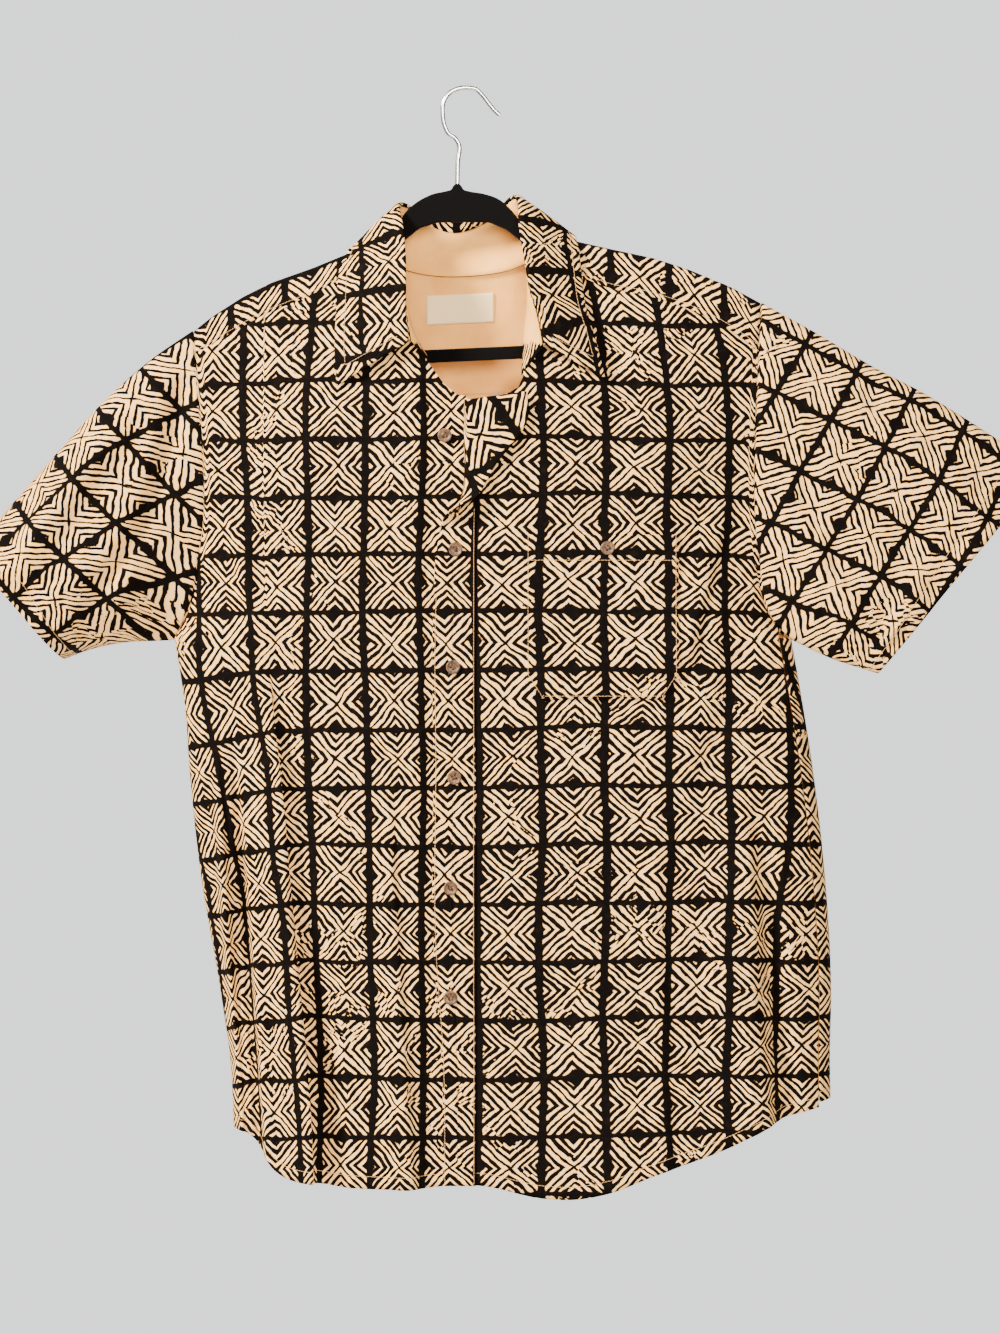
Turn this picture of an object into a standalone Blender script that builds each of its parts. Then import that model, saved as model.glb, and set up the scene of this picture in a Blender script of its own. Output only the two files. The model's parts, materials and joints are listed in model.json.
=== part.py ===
"""A short-sleeved button-down shirt on a flat velvet hanger, hanging from its hook.

Metres, +Z up, the front faces -Y. The origin is the inside top of the hook, where it hangs.
"Left" and "right" in a name are the wearer's, so front_left is at +X. Sizes below are millimetres.
"""

import bpy
import bmesh
import numpy as np
from mathutils import Matrix, Vector

MM = 0.001

# Cloth
WALL = 1.2  # one layer of cotton
BAND_WALL = 1.6  # two layers, on the placket, collar and stand
SEAM = 0.3  # half the gap between two pieces at a seam
LAYER = 1.9  # from a panel's middle to the middle of what is sewn flat on it

# Body of the shirt
UNDERARM_Z = -452.0
RING_POWER = 2.6  # of the rounded section below the underarms
NOSE = 4.3  # radius of the cloth over the hanger's edge
ARMHOLE_DEPTH = 12.0  # from the middle of the armhole to its front or back
ARMHOLE_POWER = 1 / 3  # how square its oval is
BACK_YOKE_Z = -250.0
SHOULDER_TILT = 0.045  # the whole hanger leans this much, rise over run
SIDE_SEAM_X = 284.0  # the left side seam is pulled round to the front
PLACKET_X = 6.5  # where the placket is sewn to the left front
UNDERLAP_X = -3.0  # how far the right front reaches under the placket
UNDERLAP_DROP = 3.4  # how far it lies behind the left front's surface

# Hanger
HANGER_THICK = 5.5
BAR_HEIGHT = 10.7
WIRE = 4.0

# Fastenings
BUTTON = 11.5
BUTTON_THICK = 2.4


def table(columns, *rows):
    """A table with named columns, kept as one array for each column."""
    return dict(zip(columns.split(), np.array(rows, float).T))


def read(rows, column, key, at):
    """A column's value where the key column reads `at`, along a smooth curve."""
    order = np.argsort(rows[key])
    xs = rows[key][order]
    ys = rows[column][order]
    slopes = np.gradient(ys, xs)
    at = np.clip(at, xs[0], xs[-1])
    i = np.clip(np.searchsorted(xs, at, side="right") - 1, 0, len(xs) - 2)
    h = xs[i + 1] - xs[i]
    t = (at - xs[i]) / h
    start = (1 + 2 * t) * (1 - t) ** 2 * ys[i] + t * (1 - t) ** 2 * h * slopes[i]
    end = t * t * (3 - 2 * t) * ys[i + 1] + t * t * (t - 1) * h * slopes[i + 1]
    return start + end


def ease(t):
    t = np.clip(t, 0.0, 1.0)
    return t * t * (3 - 2 * t)


# Silhouette of the body below the underarms, with the half depths in front and behind
BODY = table(
    "z left right front back",
    (-452, -242, 266, 40, 36),
    (-503, -234, 275, 41, 37),
    (-568, -229, 285, 43, 38),
    (-649, -220, 294, 44, 40),
    (-743, -204, 299, 46, 42),
    (-799, -196, 298, 47, 43),
    (-854, -193, 299, 48, 44),
    (-910, -190, 299, 48, 44),
)
# Half depths of the chest, above the underarms
CHEST = table(
    "z front back",
    (-120, 35, 33),
    (-250, 38, 35),
    (-452, 40, 36),
)
# The armhole seams, seen from the front
ARMHOLE_RIGHT = table(
    "z x",
    (-199, -226),
    (-257, -221),
    (-322, -217),
    (-372, -218),
    (-410, -224),
    (-435, -233),
    (-452, -242),
)
ARMHOLE_LEFT = table(
    "z x",
    (-176, 241),
    (-253, 237),
    (-341, 235),
    (-387, 237),
    (-420, 243),
    (-440, 253),
    (-452, 266),
)
# Top line of the shoulders; it spans the neck as a straight line
SHOULDER = table(
    "x z",
    (-226, -199),
    (-211, -187),
    (-186, -171),
    (-162, -159),
    (-128, -147),
    (-94, -133),
    (-73, -125),
    (64, -119),
    (89, -125),
    (120, -132),
    (153, -139),
    (181, -148),
    (215, -162),
    (241, -176),
)
# Front seams of the yoke
YOKE_SEAM_RIGHT = table(
    "x z",
    (-226, -219),
    (-200, -204),
    (-173, -189),
    (-127, -169),
    (-101, -155),
    (-72, -143),
)
YOKE_SEAM_LEFT = table(
    "x z",
    (63, -140),
    (114, -164),
    (148, -171),
    (207, -194),
    (241, -217),
)
# Necklines of the fronts, from the yoke seam to the front edge
NECK_RIGHT = table(
    "x z",
    (-72, -143),
    (-62, -160),
    (-54, -182),
    (-44, -208),
    (-33, -226),
    (-20, -244),
    (-8, -254),
)
NECK_LEFT = table(
    "x z",
    (6, -258),
    (30, -254),
    (44, -246),
    (48, -215),
    (51, -185),
    (56, -160),
    (63, -140),
)
HEM = table(
    "x z",
    (-194, -854),
    (-176, -861),
    (-160, -884),
    (-121, -897),
    (-60, -901),
    (15, -898),
    (61, -908),
    (87, -909),
    (114, -904),
    (149, -891),
    (207, -870),
    (265, -843),
    (299, -834),
)
# Hanging folds: a soft ridge from a top point to a low point. `rise` is forwards,
# `near` and `far` are its widths towards the left and the right of the picture.
FOLDS = table(
    "top_x top_z low_x low_z rise near far",
    (-161, -560, -127, -880, 8.0, 26, 6),
    (-152, -600, -116, -880, -5.0, 7, 30),
    (-176, -640, -163, -880, 5.0, 10, 12),
    (-196, -610, -182, -880, -4.0, 8, 12),
    (222, -620, 253, -850, -5.0, 9, 20),
    (205, -640, 232, -850, 4.5, 30, 12),
    (-75, -680, -48, -890, 3.0, 26, 20),
    (95, -600, 120, -890, 2.5, 40, 40),
    (-190, -430, -150, -560, 4.0, 24, 18),
    (215, -430, 180, -560, 3.5, 20, 24),
)
BACK_FOLDS = table(
    "top_x top_z low_x low_z rise near far",
    (-120, -420, -130, -880, 6.0, 30, 22),
    (40, -380, 60, -880, 5.0, 36, 30),
    (190, -420, 205, -850, 6.0, 26, 24),
)
# The collar, from its left end round the back of the neck to its right end.
# side is -1 where the seam lies on the front, 1 on the back, 0 on top of the shoulder.
COLLAR = table(
    "seam_x seam_z side fold_x fold_y fold_z edge_x edge_z",
    (45, -236, -1, 62, -40, -214, 112, -240),
    (46, -213, -1, 57, -40, -189, 104, -208),
    (48, -186, -1, 50, -37, -165, 96, -180),
    (53, -160, -1, 46, -30, -139, 93, -155),
    (61, -138, -1, 43, -17, -113, 91, -136),
    (63, -119, 0, 41, -2, -92, 87, -120),
    (60, -131, 1, 36, 17, -88, 80, -140),
    (33, -145, 1, 22, 30, -98, 46, -158),
    (-9, -150, 1, -9, 34, -107, -9, -168),
    (-44, -147, 1, -36, 30, -103, -56, -160),
    (-69, -136, 1, -52, 17, -94, -90, -148),
    (-72, -125, 0, -57, -2, -98, -95, -130),
    (-70, -142, -1, -55, -17, -114, -104, -146),
    (-60, -160, -1, -52, -30, -140, -107, -163),
    (-52, -182, -1, -51, -37, -168, -108, -190),
    (-42, -207, -1, -50, -40, -190, -109, -218),
    (-32, -225, -1, -47, -41, -210, -107, -246),
)
# The placket: its roll (or middle) line, the width beyond it, how far it is turned over
# in degrees, and the height that its far edge is dropped by
PLACKET = table(
    "z roll_x beyond turn drop",
    (-903, -8, 12, 0, 0),
    (-800, -9, 12, 0, 0),
    (-700, -12, 16, 0, 0),
    (-560, -12, 16, 0, 0),
    (-430, -12, 16, 0, 0),
    (-378, -11, 14, 0, 0),
    (-356, -8, 12, 20, 0),
    (-345, -5, 12, 80, 2),
    (-334, -1, 12, 140, 4),
    (-322, 0, 14, 172, 6),
    (-306, 0, 24, 178, 4),
    (-290, 0, 40, 180, 0),
    (-276, 0, 49, 180, -2),
    (-262, 0, 49, 180, -6),
    (-253, 0, 46, 180, -7),
)
ROLL_RADIUS = 2.6
# The sleeves: points of the top edge and of the underside, and the half depth
SLEEVE_RIGHT = table(
    "top_x top_z low_x low_z depth",
    (-226, -199, -242, -452, 12),
    (-262, -224, -258, -453, 22),
    (-300, -258, -276, -454, 38),
    (-340, -302, -296, -457, 50),
    (-376, -343, -315, -462, 58),
    (-407, -379, -333, -469, 60),
)
SLEEVE_LEFT = table(
    "top_x top_z low_x low_z depth",
    (241, -176, 266, -452, 12),
    (288, -202, 276, -457, 15),
    (332, -228, 290, -464, 18),
    (378, -252, 304, -470, 20),
    (428, -283, 322, -476, 20),
    (474, -314, 338, -481, 19),
)
# Soft creases of the sleeves: along the sleeve from `start` to `end` (0 armhole, 1 cuff),
# at an angle round it in degrees from the top edge towards the front
SLEEVE_CREASES = table(
    "start end from_angle to_angle rise width",
    (0.10, 1.0, 40, 75, 5.0, 16),
    (0.15, 1.0, 62, 100, -4.0, 14),
    (0.10, 0.9, 118, 128, 4.0, 16),
    (0.15, 1.0, 300, 270, 4.0, 18),
)
BUTTONS = table(
    "x z",
    (-19, -287),
    (-10, -380),
    (-12, -476),
    (-11, -566),
    (-14, -656),
    (-14, -745),
)
POCKET_LEFT, POCKET_RIGHT = 47.0, 172.0
POCKET_TOP, POCKET_CORNER, POCKET_BOTTOM = -368.0, -482.0, -502.0
POCKET_CUT = 13.0
POCKET_BUTTON = (114.0, -379.0)
LABEL_CENTRE = (-7.0, -178.0)
LABEL_SIZE = (56.0, 24.0)


def armhole_x(z):
    """The x of the right and of the left armhole, or of the sides below them."""
    right = np.where(z > UNDERARM_Z, read(ARMHOLE_RIGHT, "x", "z", z), read(BODY, "left", "z", z))
    left = np.where(z > UNDERARM_Z, read(ARMHOLE_LEFT, "x", "z", z), read(BODY, "right", "z", z))
    return right, left


def shoulder_z(x):
    return np.interp(x, SHOULDER["x"], SHOULDER["z"])


def fold_rise(folds, x, z):
    """How far the hanging folds stand out of the panel at these points."""
    total = np.zeros(np.broadcast(x, z).shape)
    for i in range(len(folds["rise"])):
        fold = {name: column[i] for name, column in folds.items()}
        along = (z - fold["top_z"]) / (fold["low_z"] - fold["top_z"])
        line = fold["top_x"] + (fold["low_x"] - fold["top_x"]) * along
        width = np.where(x < line, fold["near"], fold["far"])
        across = np.clip(np.abs(x - line) / width, 0, 1)
        reach = ease(along / 0.45) * (1 if fold["low_z"] < -800 else ease((1.3 - along) / 0.6))
        total = total + fold["rise"] * (1 - ease(across)) * reach
    return total


def half_depth(x, z, face):
    """Distance of the front (face -1) or back (face 1) from the middle plane."""
    column, near_neck = ("front", 46.0) if face < 0 else ("back", 24.0)
    lowered = shoulder_z(x) - z
    right_x, left_x = armhole_x(z)
    middle = (right_x + left_x) / 2
    half = (left_x - right_x) / 2
    share = np.clip((x - middle) / half, -1, 1)
    # Over the hanger's edge, then falling away from it
    nose = np.sqrt(np.maximum(NOSE**2 - np.clip(NOSE - lowered, 0, NOSE) ** 2, 0))
    from_neck = np.clip((np.abs(x + 5) - 55) / 110, 0, 1)
    spread = near_neck + (88 - near_neck) * from_neck
    chest = read(CHEST, column, "z", z)
    inner = nose + (chest - NOSE) * (1 - np.exp(-np.maximum(lowered - NOSE, 0) / spread))
    # The armhole is a narrow upright oval
    tall = np.where(x < middle, -199 - UNDERARM_Z, -176 - UNDERARM_Z)
    height = 1 - 2 * np.clip(lowered / tall, 0, 1)
    edge = ARMHOLE_DEPTH * (1 - height**2) ** ARMHOLE_POWER
    upper = edge + (inner - edge) * (1 - np.abs(share) ** 3)
    lower = read(BODY, column, "z", z) * (1 - np.abs(share) ** RING_POWER) ** (1 / RING_POWER)
    depth = lower + (upper - lower) * ease((z - UNDERARM_Z) / 70)
    folds = FOLDS if face < 0 else BACK_FOLDS
    return depth + fold_rise(folds, x, z) * ease((1 - np.abs(share)) / 0.06)


def on_body(x, z, face):
    return np.stack(np.broadcast_arrays(x, face * half_depth(x, z, face), z), axis=-1)


def new_material(name, colour, roughness, metallic=0.0):
    material = bpy.data.materials.new(name)
    material.use_nodes = True
    shader = material.node_tree.nodes["Principled BSDF"]
    shader.inputs["Base Color"].default_value = (*colour, 1)
    shader.inputs["Roughness"].default_value = roughness
    shader.inputs["Metallic"].default_value = metallic
    return material


def add_object(name, mesh, material):
    obj = bpy.data.objects.new(name, mesh)
    mesh.materials.append(material)
    shirt.objects.link(obj)
    return obj


def add_wall(name, grid, material, wall=WALL, closed=False, flip=False):
    """A cloth wall round a grid of points (rows, columns, xyz). A closed grid is a tube."""
    rows, columns, _ = grid.shape
    mesh = bpy.data.meshes.new(name)
    bm = bmesh.new()
    verts = [[bm.verts.new(Vector(point) * MM) for point in row] for row in grid.tolist()]
    for i in range(rows - 1):
        for j in range(columns if closed else columns - 1):
            k = (j + 1) % columns
            corners = [verts[i][j], verts[i][k], verts[i + 1][k], verts[i + 1][j]]
            bm.faces.new(corners[::-1] if flip else corners)
    bm.to_mesh(mesh)
    bm.free()
    obj = add_object(name, mesh, material)
    mesh.shade_smooth()
    solid = obj.modifiers.new("Cloth thickness", "SOLIDIFY")
    solid.thickness = wall * MM
    solid.offset = 0
    return obj


def upper_share(x, z):
    right_x, left_x = armhole_x(z)
    return (x - (right_x + left_x) / 2) / ((left_x - right_x) / 2)


def ring_angle(share):
    """The angle round the section at which a point this far across lies, 0 at the front."""
    return np.sign(share) * np.arcsin(np.abs(share) ** (RING_POWER / 2))


def ring_share(angle):
    return np.sign(np.sin(angle)) * np.abs(np.sin(angle)) ** (2 / RING_POWER)


def panel(outer_share, inner_x, steps, top, rows_low, rows_high, face=-1, hem_gap=0.0):
    """A front or back panel as a grid. Its columns run from the side or armhole to an
    inner edge at inner_x(z). Its rows run from the hem to the line z = top(x)."""
    side = np.sign(outer_share)
    steps = np.asarray(steps)
    grid = []
    start = np.full(len(steps), UNDERARM_Z)
    right_x, left_x = armhole_x(UNDERARM_Z)
    for level in rows_low:
        z = start.copy()
        for _ in range(4):
            right_x, left_x = armhole_x(z[0])
            middle, half = (right_x + left_x) / 2, (left_x - right_x) / 2
            inner = ring_angle((inner_x(z[-1]) - middle) / half)
            outer = ring_angle(outer_share)
            x = middle + half * ring_share(outer + (inner - outer) * steps)
            z = UNDERARM_Z + (read(HEM, "z", "x", x) + hem_gap - UNDERARM_Z) * level
        grid.append(on_body(x, z, face))
    right_x, left_x = armhole_x(UNDERARM_Z)
    edge = (left_x + right_x) / 2 + (left_x - right_x) / 2 * outer_share
    x = grid[-1][:, 0]
    across = (x - x[0]) / (x[-1] - x[0])
    for level in rows_high:
        z = np.full(len(steps), UNDERARM_Z)
        for _ in range(6):
            right_x, left_x = armhole_x(z[0])
            out = (left_x if side > 0 else right_x) - side * SEAM
            out = out + (edge - (left_x if side > 0 else right_x)) * (1 - level) ** 6
            x = out + (inner_x(z[-1]) - out) * across
            z = UNDERARM_Z + (top(x) - SEAM - UNDERARM_Z) * level
        grid.append(on_body(x, z, face))
    return np.array(grid)


def front_top(x):
    right = np.where(x < -72, read(YOKE_SEAM_RIGHT, "z", "x", x), np.interp(x, NECK_RIGHT["x"], NECK_RIGHT["z"]))
    left = np.where(x > 63, read(YOKE_SEAM_LEFT, "z", "x", x), np.interp(x, NECK_LEFT["x"], NECK_LEFT["z"]))
    return np.where(x < 0, right, left)


def right_inner_x(z):
    """The right front's free edge, which slips under the placket below the open collar."""
    return np.interp(z, (-350, -328, -282, -270, -254), (UNDERLAP_X, -5.5, -5.5, -9.5, -8.5))


for scene_object in list(bpy.data.objects):
    bpy.data.objects.remove(scene_object)
shirt = bpy.data.collections.new("Button-down shirt")
bpy.context.scene.collection.children.link(shirt)

print_cloth = new_material("Printed cotton", (0.42, 0.33, 0.22), 0.85)
plain_cloth = new_material("Wrong side of the cotton", (0.74, 0.52, 0.29), 0.9)
tag_cloth = new_material("Woven tag", (0.84, 0.79, 0.62), 0.8)
horn = new_material("Brown horn button", (0.09, 0.045, 0.02), 0.35)
velvet = new_material("Black velvet flocking", (0.008, 0.008, 0.009), 1.0)
chrome = new_material("Chromed wire", (0.75, 0.75, 0.76), 0.15, 1.0)

rows_low = np.linspace(1, 0, 13)
rows_high = np.array([0.04, 0.09, 0.16, 0.25, 0.36, 0.48, 0.60, 0.72, 0.83, 0.93, 1.0])

# Right front (left in the picture): close columns over its hanging folds
fold_steps = np.concatenate([
    [0.002, 0.06, 0.11, 0.16, 0.20, 0.235, 0.265, 0.29, 0.315, 0.34, 0.365, 0.39, 0.415],
    np.linspace(0.45, 1, 12),
])
grid = panel(-1.0, right_inner_x, fold_steps, front_top, rows_low, rows_high)
under = ease((grid[..., 0] + 42) / 12)
grid[..., 1] += UNDERLAP_DROP * under
add_wall("front_right", grid, print_cloth)

# Left front, from the placket's seam to the side seam that shows on the front
side_x = SIDE_SEAM_X - SEAM
seam_share = 0.955
left_steps = np.concatenate([[0.0, 0.06, 0.12, 0.17, 0.22, 0.27], np.linspace(0.33, 1, 14)])
left_grid = panel(seam_share, lambda z: PLACKET_X + SEAM, left_steps, front_top, rows_low, rows_high)
add_wall("front_left", left_grid[:, ::-1], print_cloth)


def back_seam_z(x):
    return BACK_YOKE_Z + SHOULDER_TILT * x


# Back: round the section from the right side seam to the left one, which is on the front
angles = np.linspace(-np.pi / 2, np.pi / 2, 21)
wrap = np.linspace(np.pi / 2, ring_angle(seam_share) + 0.012, 4)[1:]
back_share = np.concatenate([ring_share(angles), ring_share(wrap)])
back_face = np.concatenate([np.ones(len(angles)), -np.ones(len(wrap))])
back_rows = []
for level in rows_low:
    z = np.full(len(back_share), UNDERARM_Z)
    for _ in range(4):
        right_x, left_x = armhole_x(z)
        x = (right_x + left_x) / 2 + (left_x - right_x) / 2 * back_share
        z = UNDERARM_Z + (read(HEM, "z", "x", x) + 4 - UNDERARM_Z) * level
    front = on_body(x, z, -1)
    behind = on_body(x, z, 1)
    back_rows.append(np.where(back_face[:, None] > 0, behind, front))
base = back_rows[-1]
for level in rows_high:
    z = np.full(len(back_share), UNDERARM_Z)
    for _ in range(6):
        right_x, left_x = armhole_x(z)
        middle, half = (right_x + left_x) / 2, (left_x - right_x) / 2 - SEAM
        flat = (base[:, 0] - base[0, 0]) / (base[len(angles) - 1, 0] - base[0, 0]) * 2 - 1
        x = middle + half * flat
        z = UNDERARM_Z + (back_seam_z(x) - SEAM - UNDERARM_Z) * level
    depth = half_depth(x, z, 1)
    back_rows.append(np.stack([x, depth, z], axis=-1))
back_grid = np.array(back_rows)
# The strip that shows at the front ends at the underarm
wrapped = back_grid[len(rows_low):, len(angles):]
back_low = back_grid[: len(rows_low)]
back_high = back_grid[len(rows_low):]


def add_back():
    """The back's upper part has fewer columns than its lower part."""
    mesh = bpy.data.meshes.new("back")
    bm = bmesh.new()
    low = [[bm.verts.new(Vector(p) * MM) for p in row] for row in back_low.tolist()]
    high = [[bm.verts.new(Vector(p) * MM) for p in row[: len(angles)]] for row in back_high.tolist()]
    rows = [row for row in low] + high
    for a, b in zip(rows, rows[1:]):
        for j in range(min(len(a), len(b)) - 1):
            bm.faces.new([a[j + 1], a[j], b[j], b[j + 1]])
    bm.to_mesh(mesh)
    bm.free()
    obj = add_object("back", mesh, print_cloth)
    mesh.shade_smooth()
    solid = obj.modifiers.new("Cloth thickness", "SOLIDIFY")
    solid.thickness = WALL * MM
    solid.offset = 0


add_back()


def body_x(share, z):
    """The x that lies this share of the way from the middle to the armhole at height z."""
    right_x, left_x = armhole_x(z)
    return (right_x + left_x) / 2 + (left_x - right_x) / 2 * share


# Yoke: ribs from its front seam, or from the neckline, over the shoulder and down the back
def shoulder_rib(tip_x, seam):
    """From the front seam over the shoulder; the outermost rib follows the armhole."""
    tip_z = float(shoulder_z(tip_x))
    right_x, left_x = armhole_x(tip_z)
    share = (tip_x - (right_x + left_x) / 2) / ((left_x - right_x) / 2)
    seam_x = tip_x
    for _ in range(3):
        seam_z = read(seam, "z", "x", seam_x) + SEAM
        seam_x = body_x(share, seam_z)
    front = float(shoulder_z(seam_x) - seam_z)
    behind = float(shoulder_z(tip_x) - back_seam_z(tip_x)) - SEAM
    nose = np.array([-NOSE, -0.3 * NOSE, 0.0, 0.3 * NOSE, NOSE])
    path = np.concatenate([
        np.linspace(-front, -NOSE, 4)[:-1], nose,
        NOSE + (behind - NOSE) * np.array([0.08, 0.2, 0.4, 0.6, 0.8, 1.0]),
    ])
    x = np.full(len(path), tip_x)
    for _ in range(3):
        z = shoulder_z(x) - np.abs(path)
        x = body_x(share, np.minimum(z, tip_z))
    z = shoulder_z(x) - np.abs(path)
    y = np.where(path < 0, -half_depth(x, z, -1), half_depth(x, z, 1))
    return np.stack([x, y, z], axis=-1)


def neck_rib(start_x, start_z, over_x, end_x, side):
    """From the neckline. On side -1 it starts on the front and goes over the shoulder."""
    start = max(float(shoulder_z(start_x)) - start_z, 0.0)
    end = float(shoulder_z(end_x) - back_seam_z(end_x)) - SEAM
    if side < 0:
        nose = np.array([-NOSE, -0.3 * NOSE, 0.0, 0.3 * NOSE, NOSE])
        path = np.concatenate([np.linspace(-start + SEAM, -NOSE, 4)[:-1], nose])
    else:
        path = start + SEAM + 0.6 * np.arange(8)
    path = np.concatenate([path, path[-1] + (end - path[-1]) * np.array([0.08, 0.2, 0.4, 0.6, 0.8, 1.0])])
    if side < 0:
        x = np.interp(path, (path[0], 0, end), (start_x, over_x, end_x))
    else:
        x = np.interp(path, (path[0], end), (start_x, end_x))
    z = shoulder_z(x) - np.abs(path)
    y = np.where(path < 0, -half_depth(x, z, -1), half_depth(x, z, 1))
    return np.stack([x, y, z], axis=-1)


ribs = [shoulder_rib(x, YOKE_SEAM_RIGHT) for x in np.linspace(-226 + SEAM, -80, 9)]
ribs.append(neck_rib(-72, -143, -76.5, -76, -1))
for i in range(11, 4, -1):
    x = COLLAR["seam_x"][i]
    ribs.append(neck_rib(x, COLLAR["seam_z"][i], x, x * 0.98, 1))
ribs.append(neck_rib(63, -140, 67.5, 67, -1))
ribs += [shoulder_rib(x, YOKE_SEAM_LEFT) for x in np.linspace(72, 241 - SEAM, 9)]
add_wall("yoke", np.array(ribs), print_cloth, flip=True)


# Sleeves: rings from the armhole to the cuff
RING_POINTS = 36
SLEEVE_RINGS = 9
ARMHOLE_GAP = 1.5  # between the middles of the walls that meet at an armhole


def sleeve(name, rows, hole, sign):
    angle = np.linspace(0, 2 * np.pi, RING_POINTS, endpoint=False)
    stations = dict(rows, at=np.linspace(0, 1, len(rows["depth"])))
    tip_z, tall = hole["z"][0], hole["z"][0] - UNDERARM_Z
    z = tip_z - tall / 2 + tall / 2 * np.cos(angle)
    depth = ARMHOLE_DEPTH * np.abs(np.sin(angle)) ** (2 * ARMHOLE_POWER)
    armhole = np.stack([read(hole, "x", "z", z), -np.sign(np.sin(angle)) * depth, z], axis=-1)

    def oval(t):
        top = np.array([read(stations, "top_x", "at", t), 0, read(stations, "top_z", "at", t)])
        low = np.array([read(stations, "low_x", "at", t), 0, read(stations, "low_z", "at", t)])
        wide = np.sign(np.cos(angle)) * np.abs(np.cos(angle)) ** 0.85
        deep = np.sign(np.sin(angle)) * np.abs(np.sin(angle)) ** 0.85
        across = -read(stations, "depth", "at", t) * deep
        ring = (top + low) / 2 + (top - low) / 2 * wide[:, None]
        ring[:, 1] = across
        return ring

    first = oval(0.0)
    rings = []
    for t in np.linspace(0, 1, SLEEVE_RINGS):
        ring = oval(t) + (armhole - first) * (1 - t) ** 3
        degrees = np.degrees(angle)
        for i in range(len(SLEEVE_CREASES["rise"])):
            crease = {key: column[i] for key, column in SLEEVE_CREASES.items()}
            along = (t - crease["start"]) / (crease["end"] - crease["start"])
            line = crease["from_angle"] + (crease["to_angle"] - crease["from_angle"]) * along
            across = np.abs(degrees - line) / crease["width"]
            rise = crease["rise"] * (1 - ease(across)) * ease(along / 0.4) * (along < 1.001)
            ring[:, 1] -= np.sign(np.sin(angle)) * rise
        bend = np.exp(-(((armhole[:, 2] + 394) / 24) ** 2))
        ring[:, 0] += sign * (ARMHOLE_GAP + 2.1 * bend) * (1 - t)
        ring[:, 2] += ARMHOLE_GAP * np.maximum(-np.cos(angle), 0) * (1 - t)
        rings.append(ring)
    add_wall(name, np.array(rings), print_cloth, closed=True, flip=sign > 0)


sleeve("sleeve_right", SLEEVE_RIGHT, ARMHOLE_RIGHT, -1)
sleeve("sleeve_left", SLEEVE_LEFT, ARMHOLE_LEFT, 1)

# Collar: smooth rows through the stations
collar_at = np.linspace(0, 1, len(COLLAR["side"]))
stations = dict(COLLAR, at=collar_at)
fine = np.linspace(0, 1, 33)


def station(column):
    return read(stations, column, "at", fine)


def clear_of_body(points, gap):
    """Moves points up or out until they lie this far from the shoulders, fronts and back."""
    x, y, z = points[..., 0], points[..., 1], points[..., 2]
    narrow = np.minimum(np.abs(y), 14.0)
    fall = np.where(narrow < NOSE, NOSE - np.sqrt(np.maximum(NOSE**2 - narrow**2, 0)), NOSE + (narrow - NOSE) * 0.9)
    z = np.where(np.abs(y) < 14.0, np.maximum(z, shoulder_z(x) - fall + 1.3 * gap), z)
    face_depth = np.where(y < 0, half_depth(x, z, -1), half_depth(x, z, 1))
    below = (z < shoulder_z(x)) & (np.abs(y) >= 14.0)
    out = np.where(below, np.sign(y) * np.maximum(np.abs(y), face_depth + gap), y)
    return np.stack([x, out, z], axis=-1)


seam_side = np.interp(fine, collar_at, COLLAR["side"])
seam_points = np.stack([station("seam_x"), np.zeros(len(fine)), station("seam_z")], axis=-1)
seam_front = -half_depth(seam_points[:, 0], seam_points[:, 2], -1)
seam_back = half_depth(seam_points[:, 0], seam_points[:, 2], 1)
seam_points[:, 1] = np.where(seam_side < 0, seam_front, seam_back)
fold_points = np.stack([station("fold_x"), station("fold_y"), station("fold_z")], axis=-1)
up = fold_points - seam_points
up /= np.linalg.norm(up, axis=1, keepdims=True)
stand_rows = [seam_points + up * (2.0 + (np.linalg.norm(fold_points - seam_points, axis=1, keepdims=True) - 3.1) * t)
              for t in (0.0, 0.33, 0.67, 1.0)]
add_wall("collar_stand", np.array(stand_rows), plain_cloth, wall=BAND_WALL)

edge_points = np.stack([station("edge_x"), np.zeros(len(fine)), station("edge_z")], axis=-1)
front_y = -half_depth(edge_points[:, 0], edge_points[:, 2], -1) - 3.0
back_y = half_depth(edge_points[:, 0], edge_points[:, 2], 1) + 3.0
edge_points[:, 1] = np.where(seam_side < 0, front_y, back_y) * np.minimum(np.abs(seam_side), 1)
out_y = np.sign(seam_side) * np.minimum(np.abs(seam_side), 1)
out_x = np.sign(edge_points[:, 0] - fold_points[:, 0]) * (1 - np.abs(out_y))
outward = np.stack([out_x, out_y, 0.6 * (1 - np.abs(out_y))], axis=-1)
outward /= np.linalg.norm(outward, axis=1, keepdims=True)
leaf = edge_points - fold_points
leaf_length = np.linalg.norm(leaf, axis=1, keepdims=True)
# Rows of the leaf: distance down it, share of its length, rise past the fold, distance out
LEAF = table(
    "down share past out",
    (0, 0.0, 0.9, 0.3),
    (0, 0.0, 2.2, 1.6),
    (1, 0.0, 1.6, 3.2),
    (5, 0.0, 0.0, 3.8),
    (5, 0.2, 0.0, 3.8),
    (3, 0.45, 0.0, 3.0),
    (0, 0.75, 0.0, 1.6),
    (0, 1.0, 0.0, 0.0),
)
fall_rows = []
for down, share, past, out in zip(*LEAF.values()):
    row = fold_points + leaf / leaf_length * down + leaf * share + up * past + outward * out
    fall_rows.append(clear_of_body(row, 2.8) if share > 0 else row)
add_wall("collar_fall", np.array(fall_rows), print_cloth, wall=BAND_WALL, flip=True)


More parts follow.
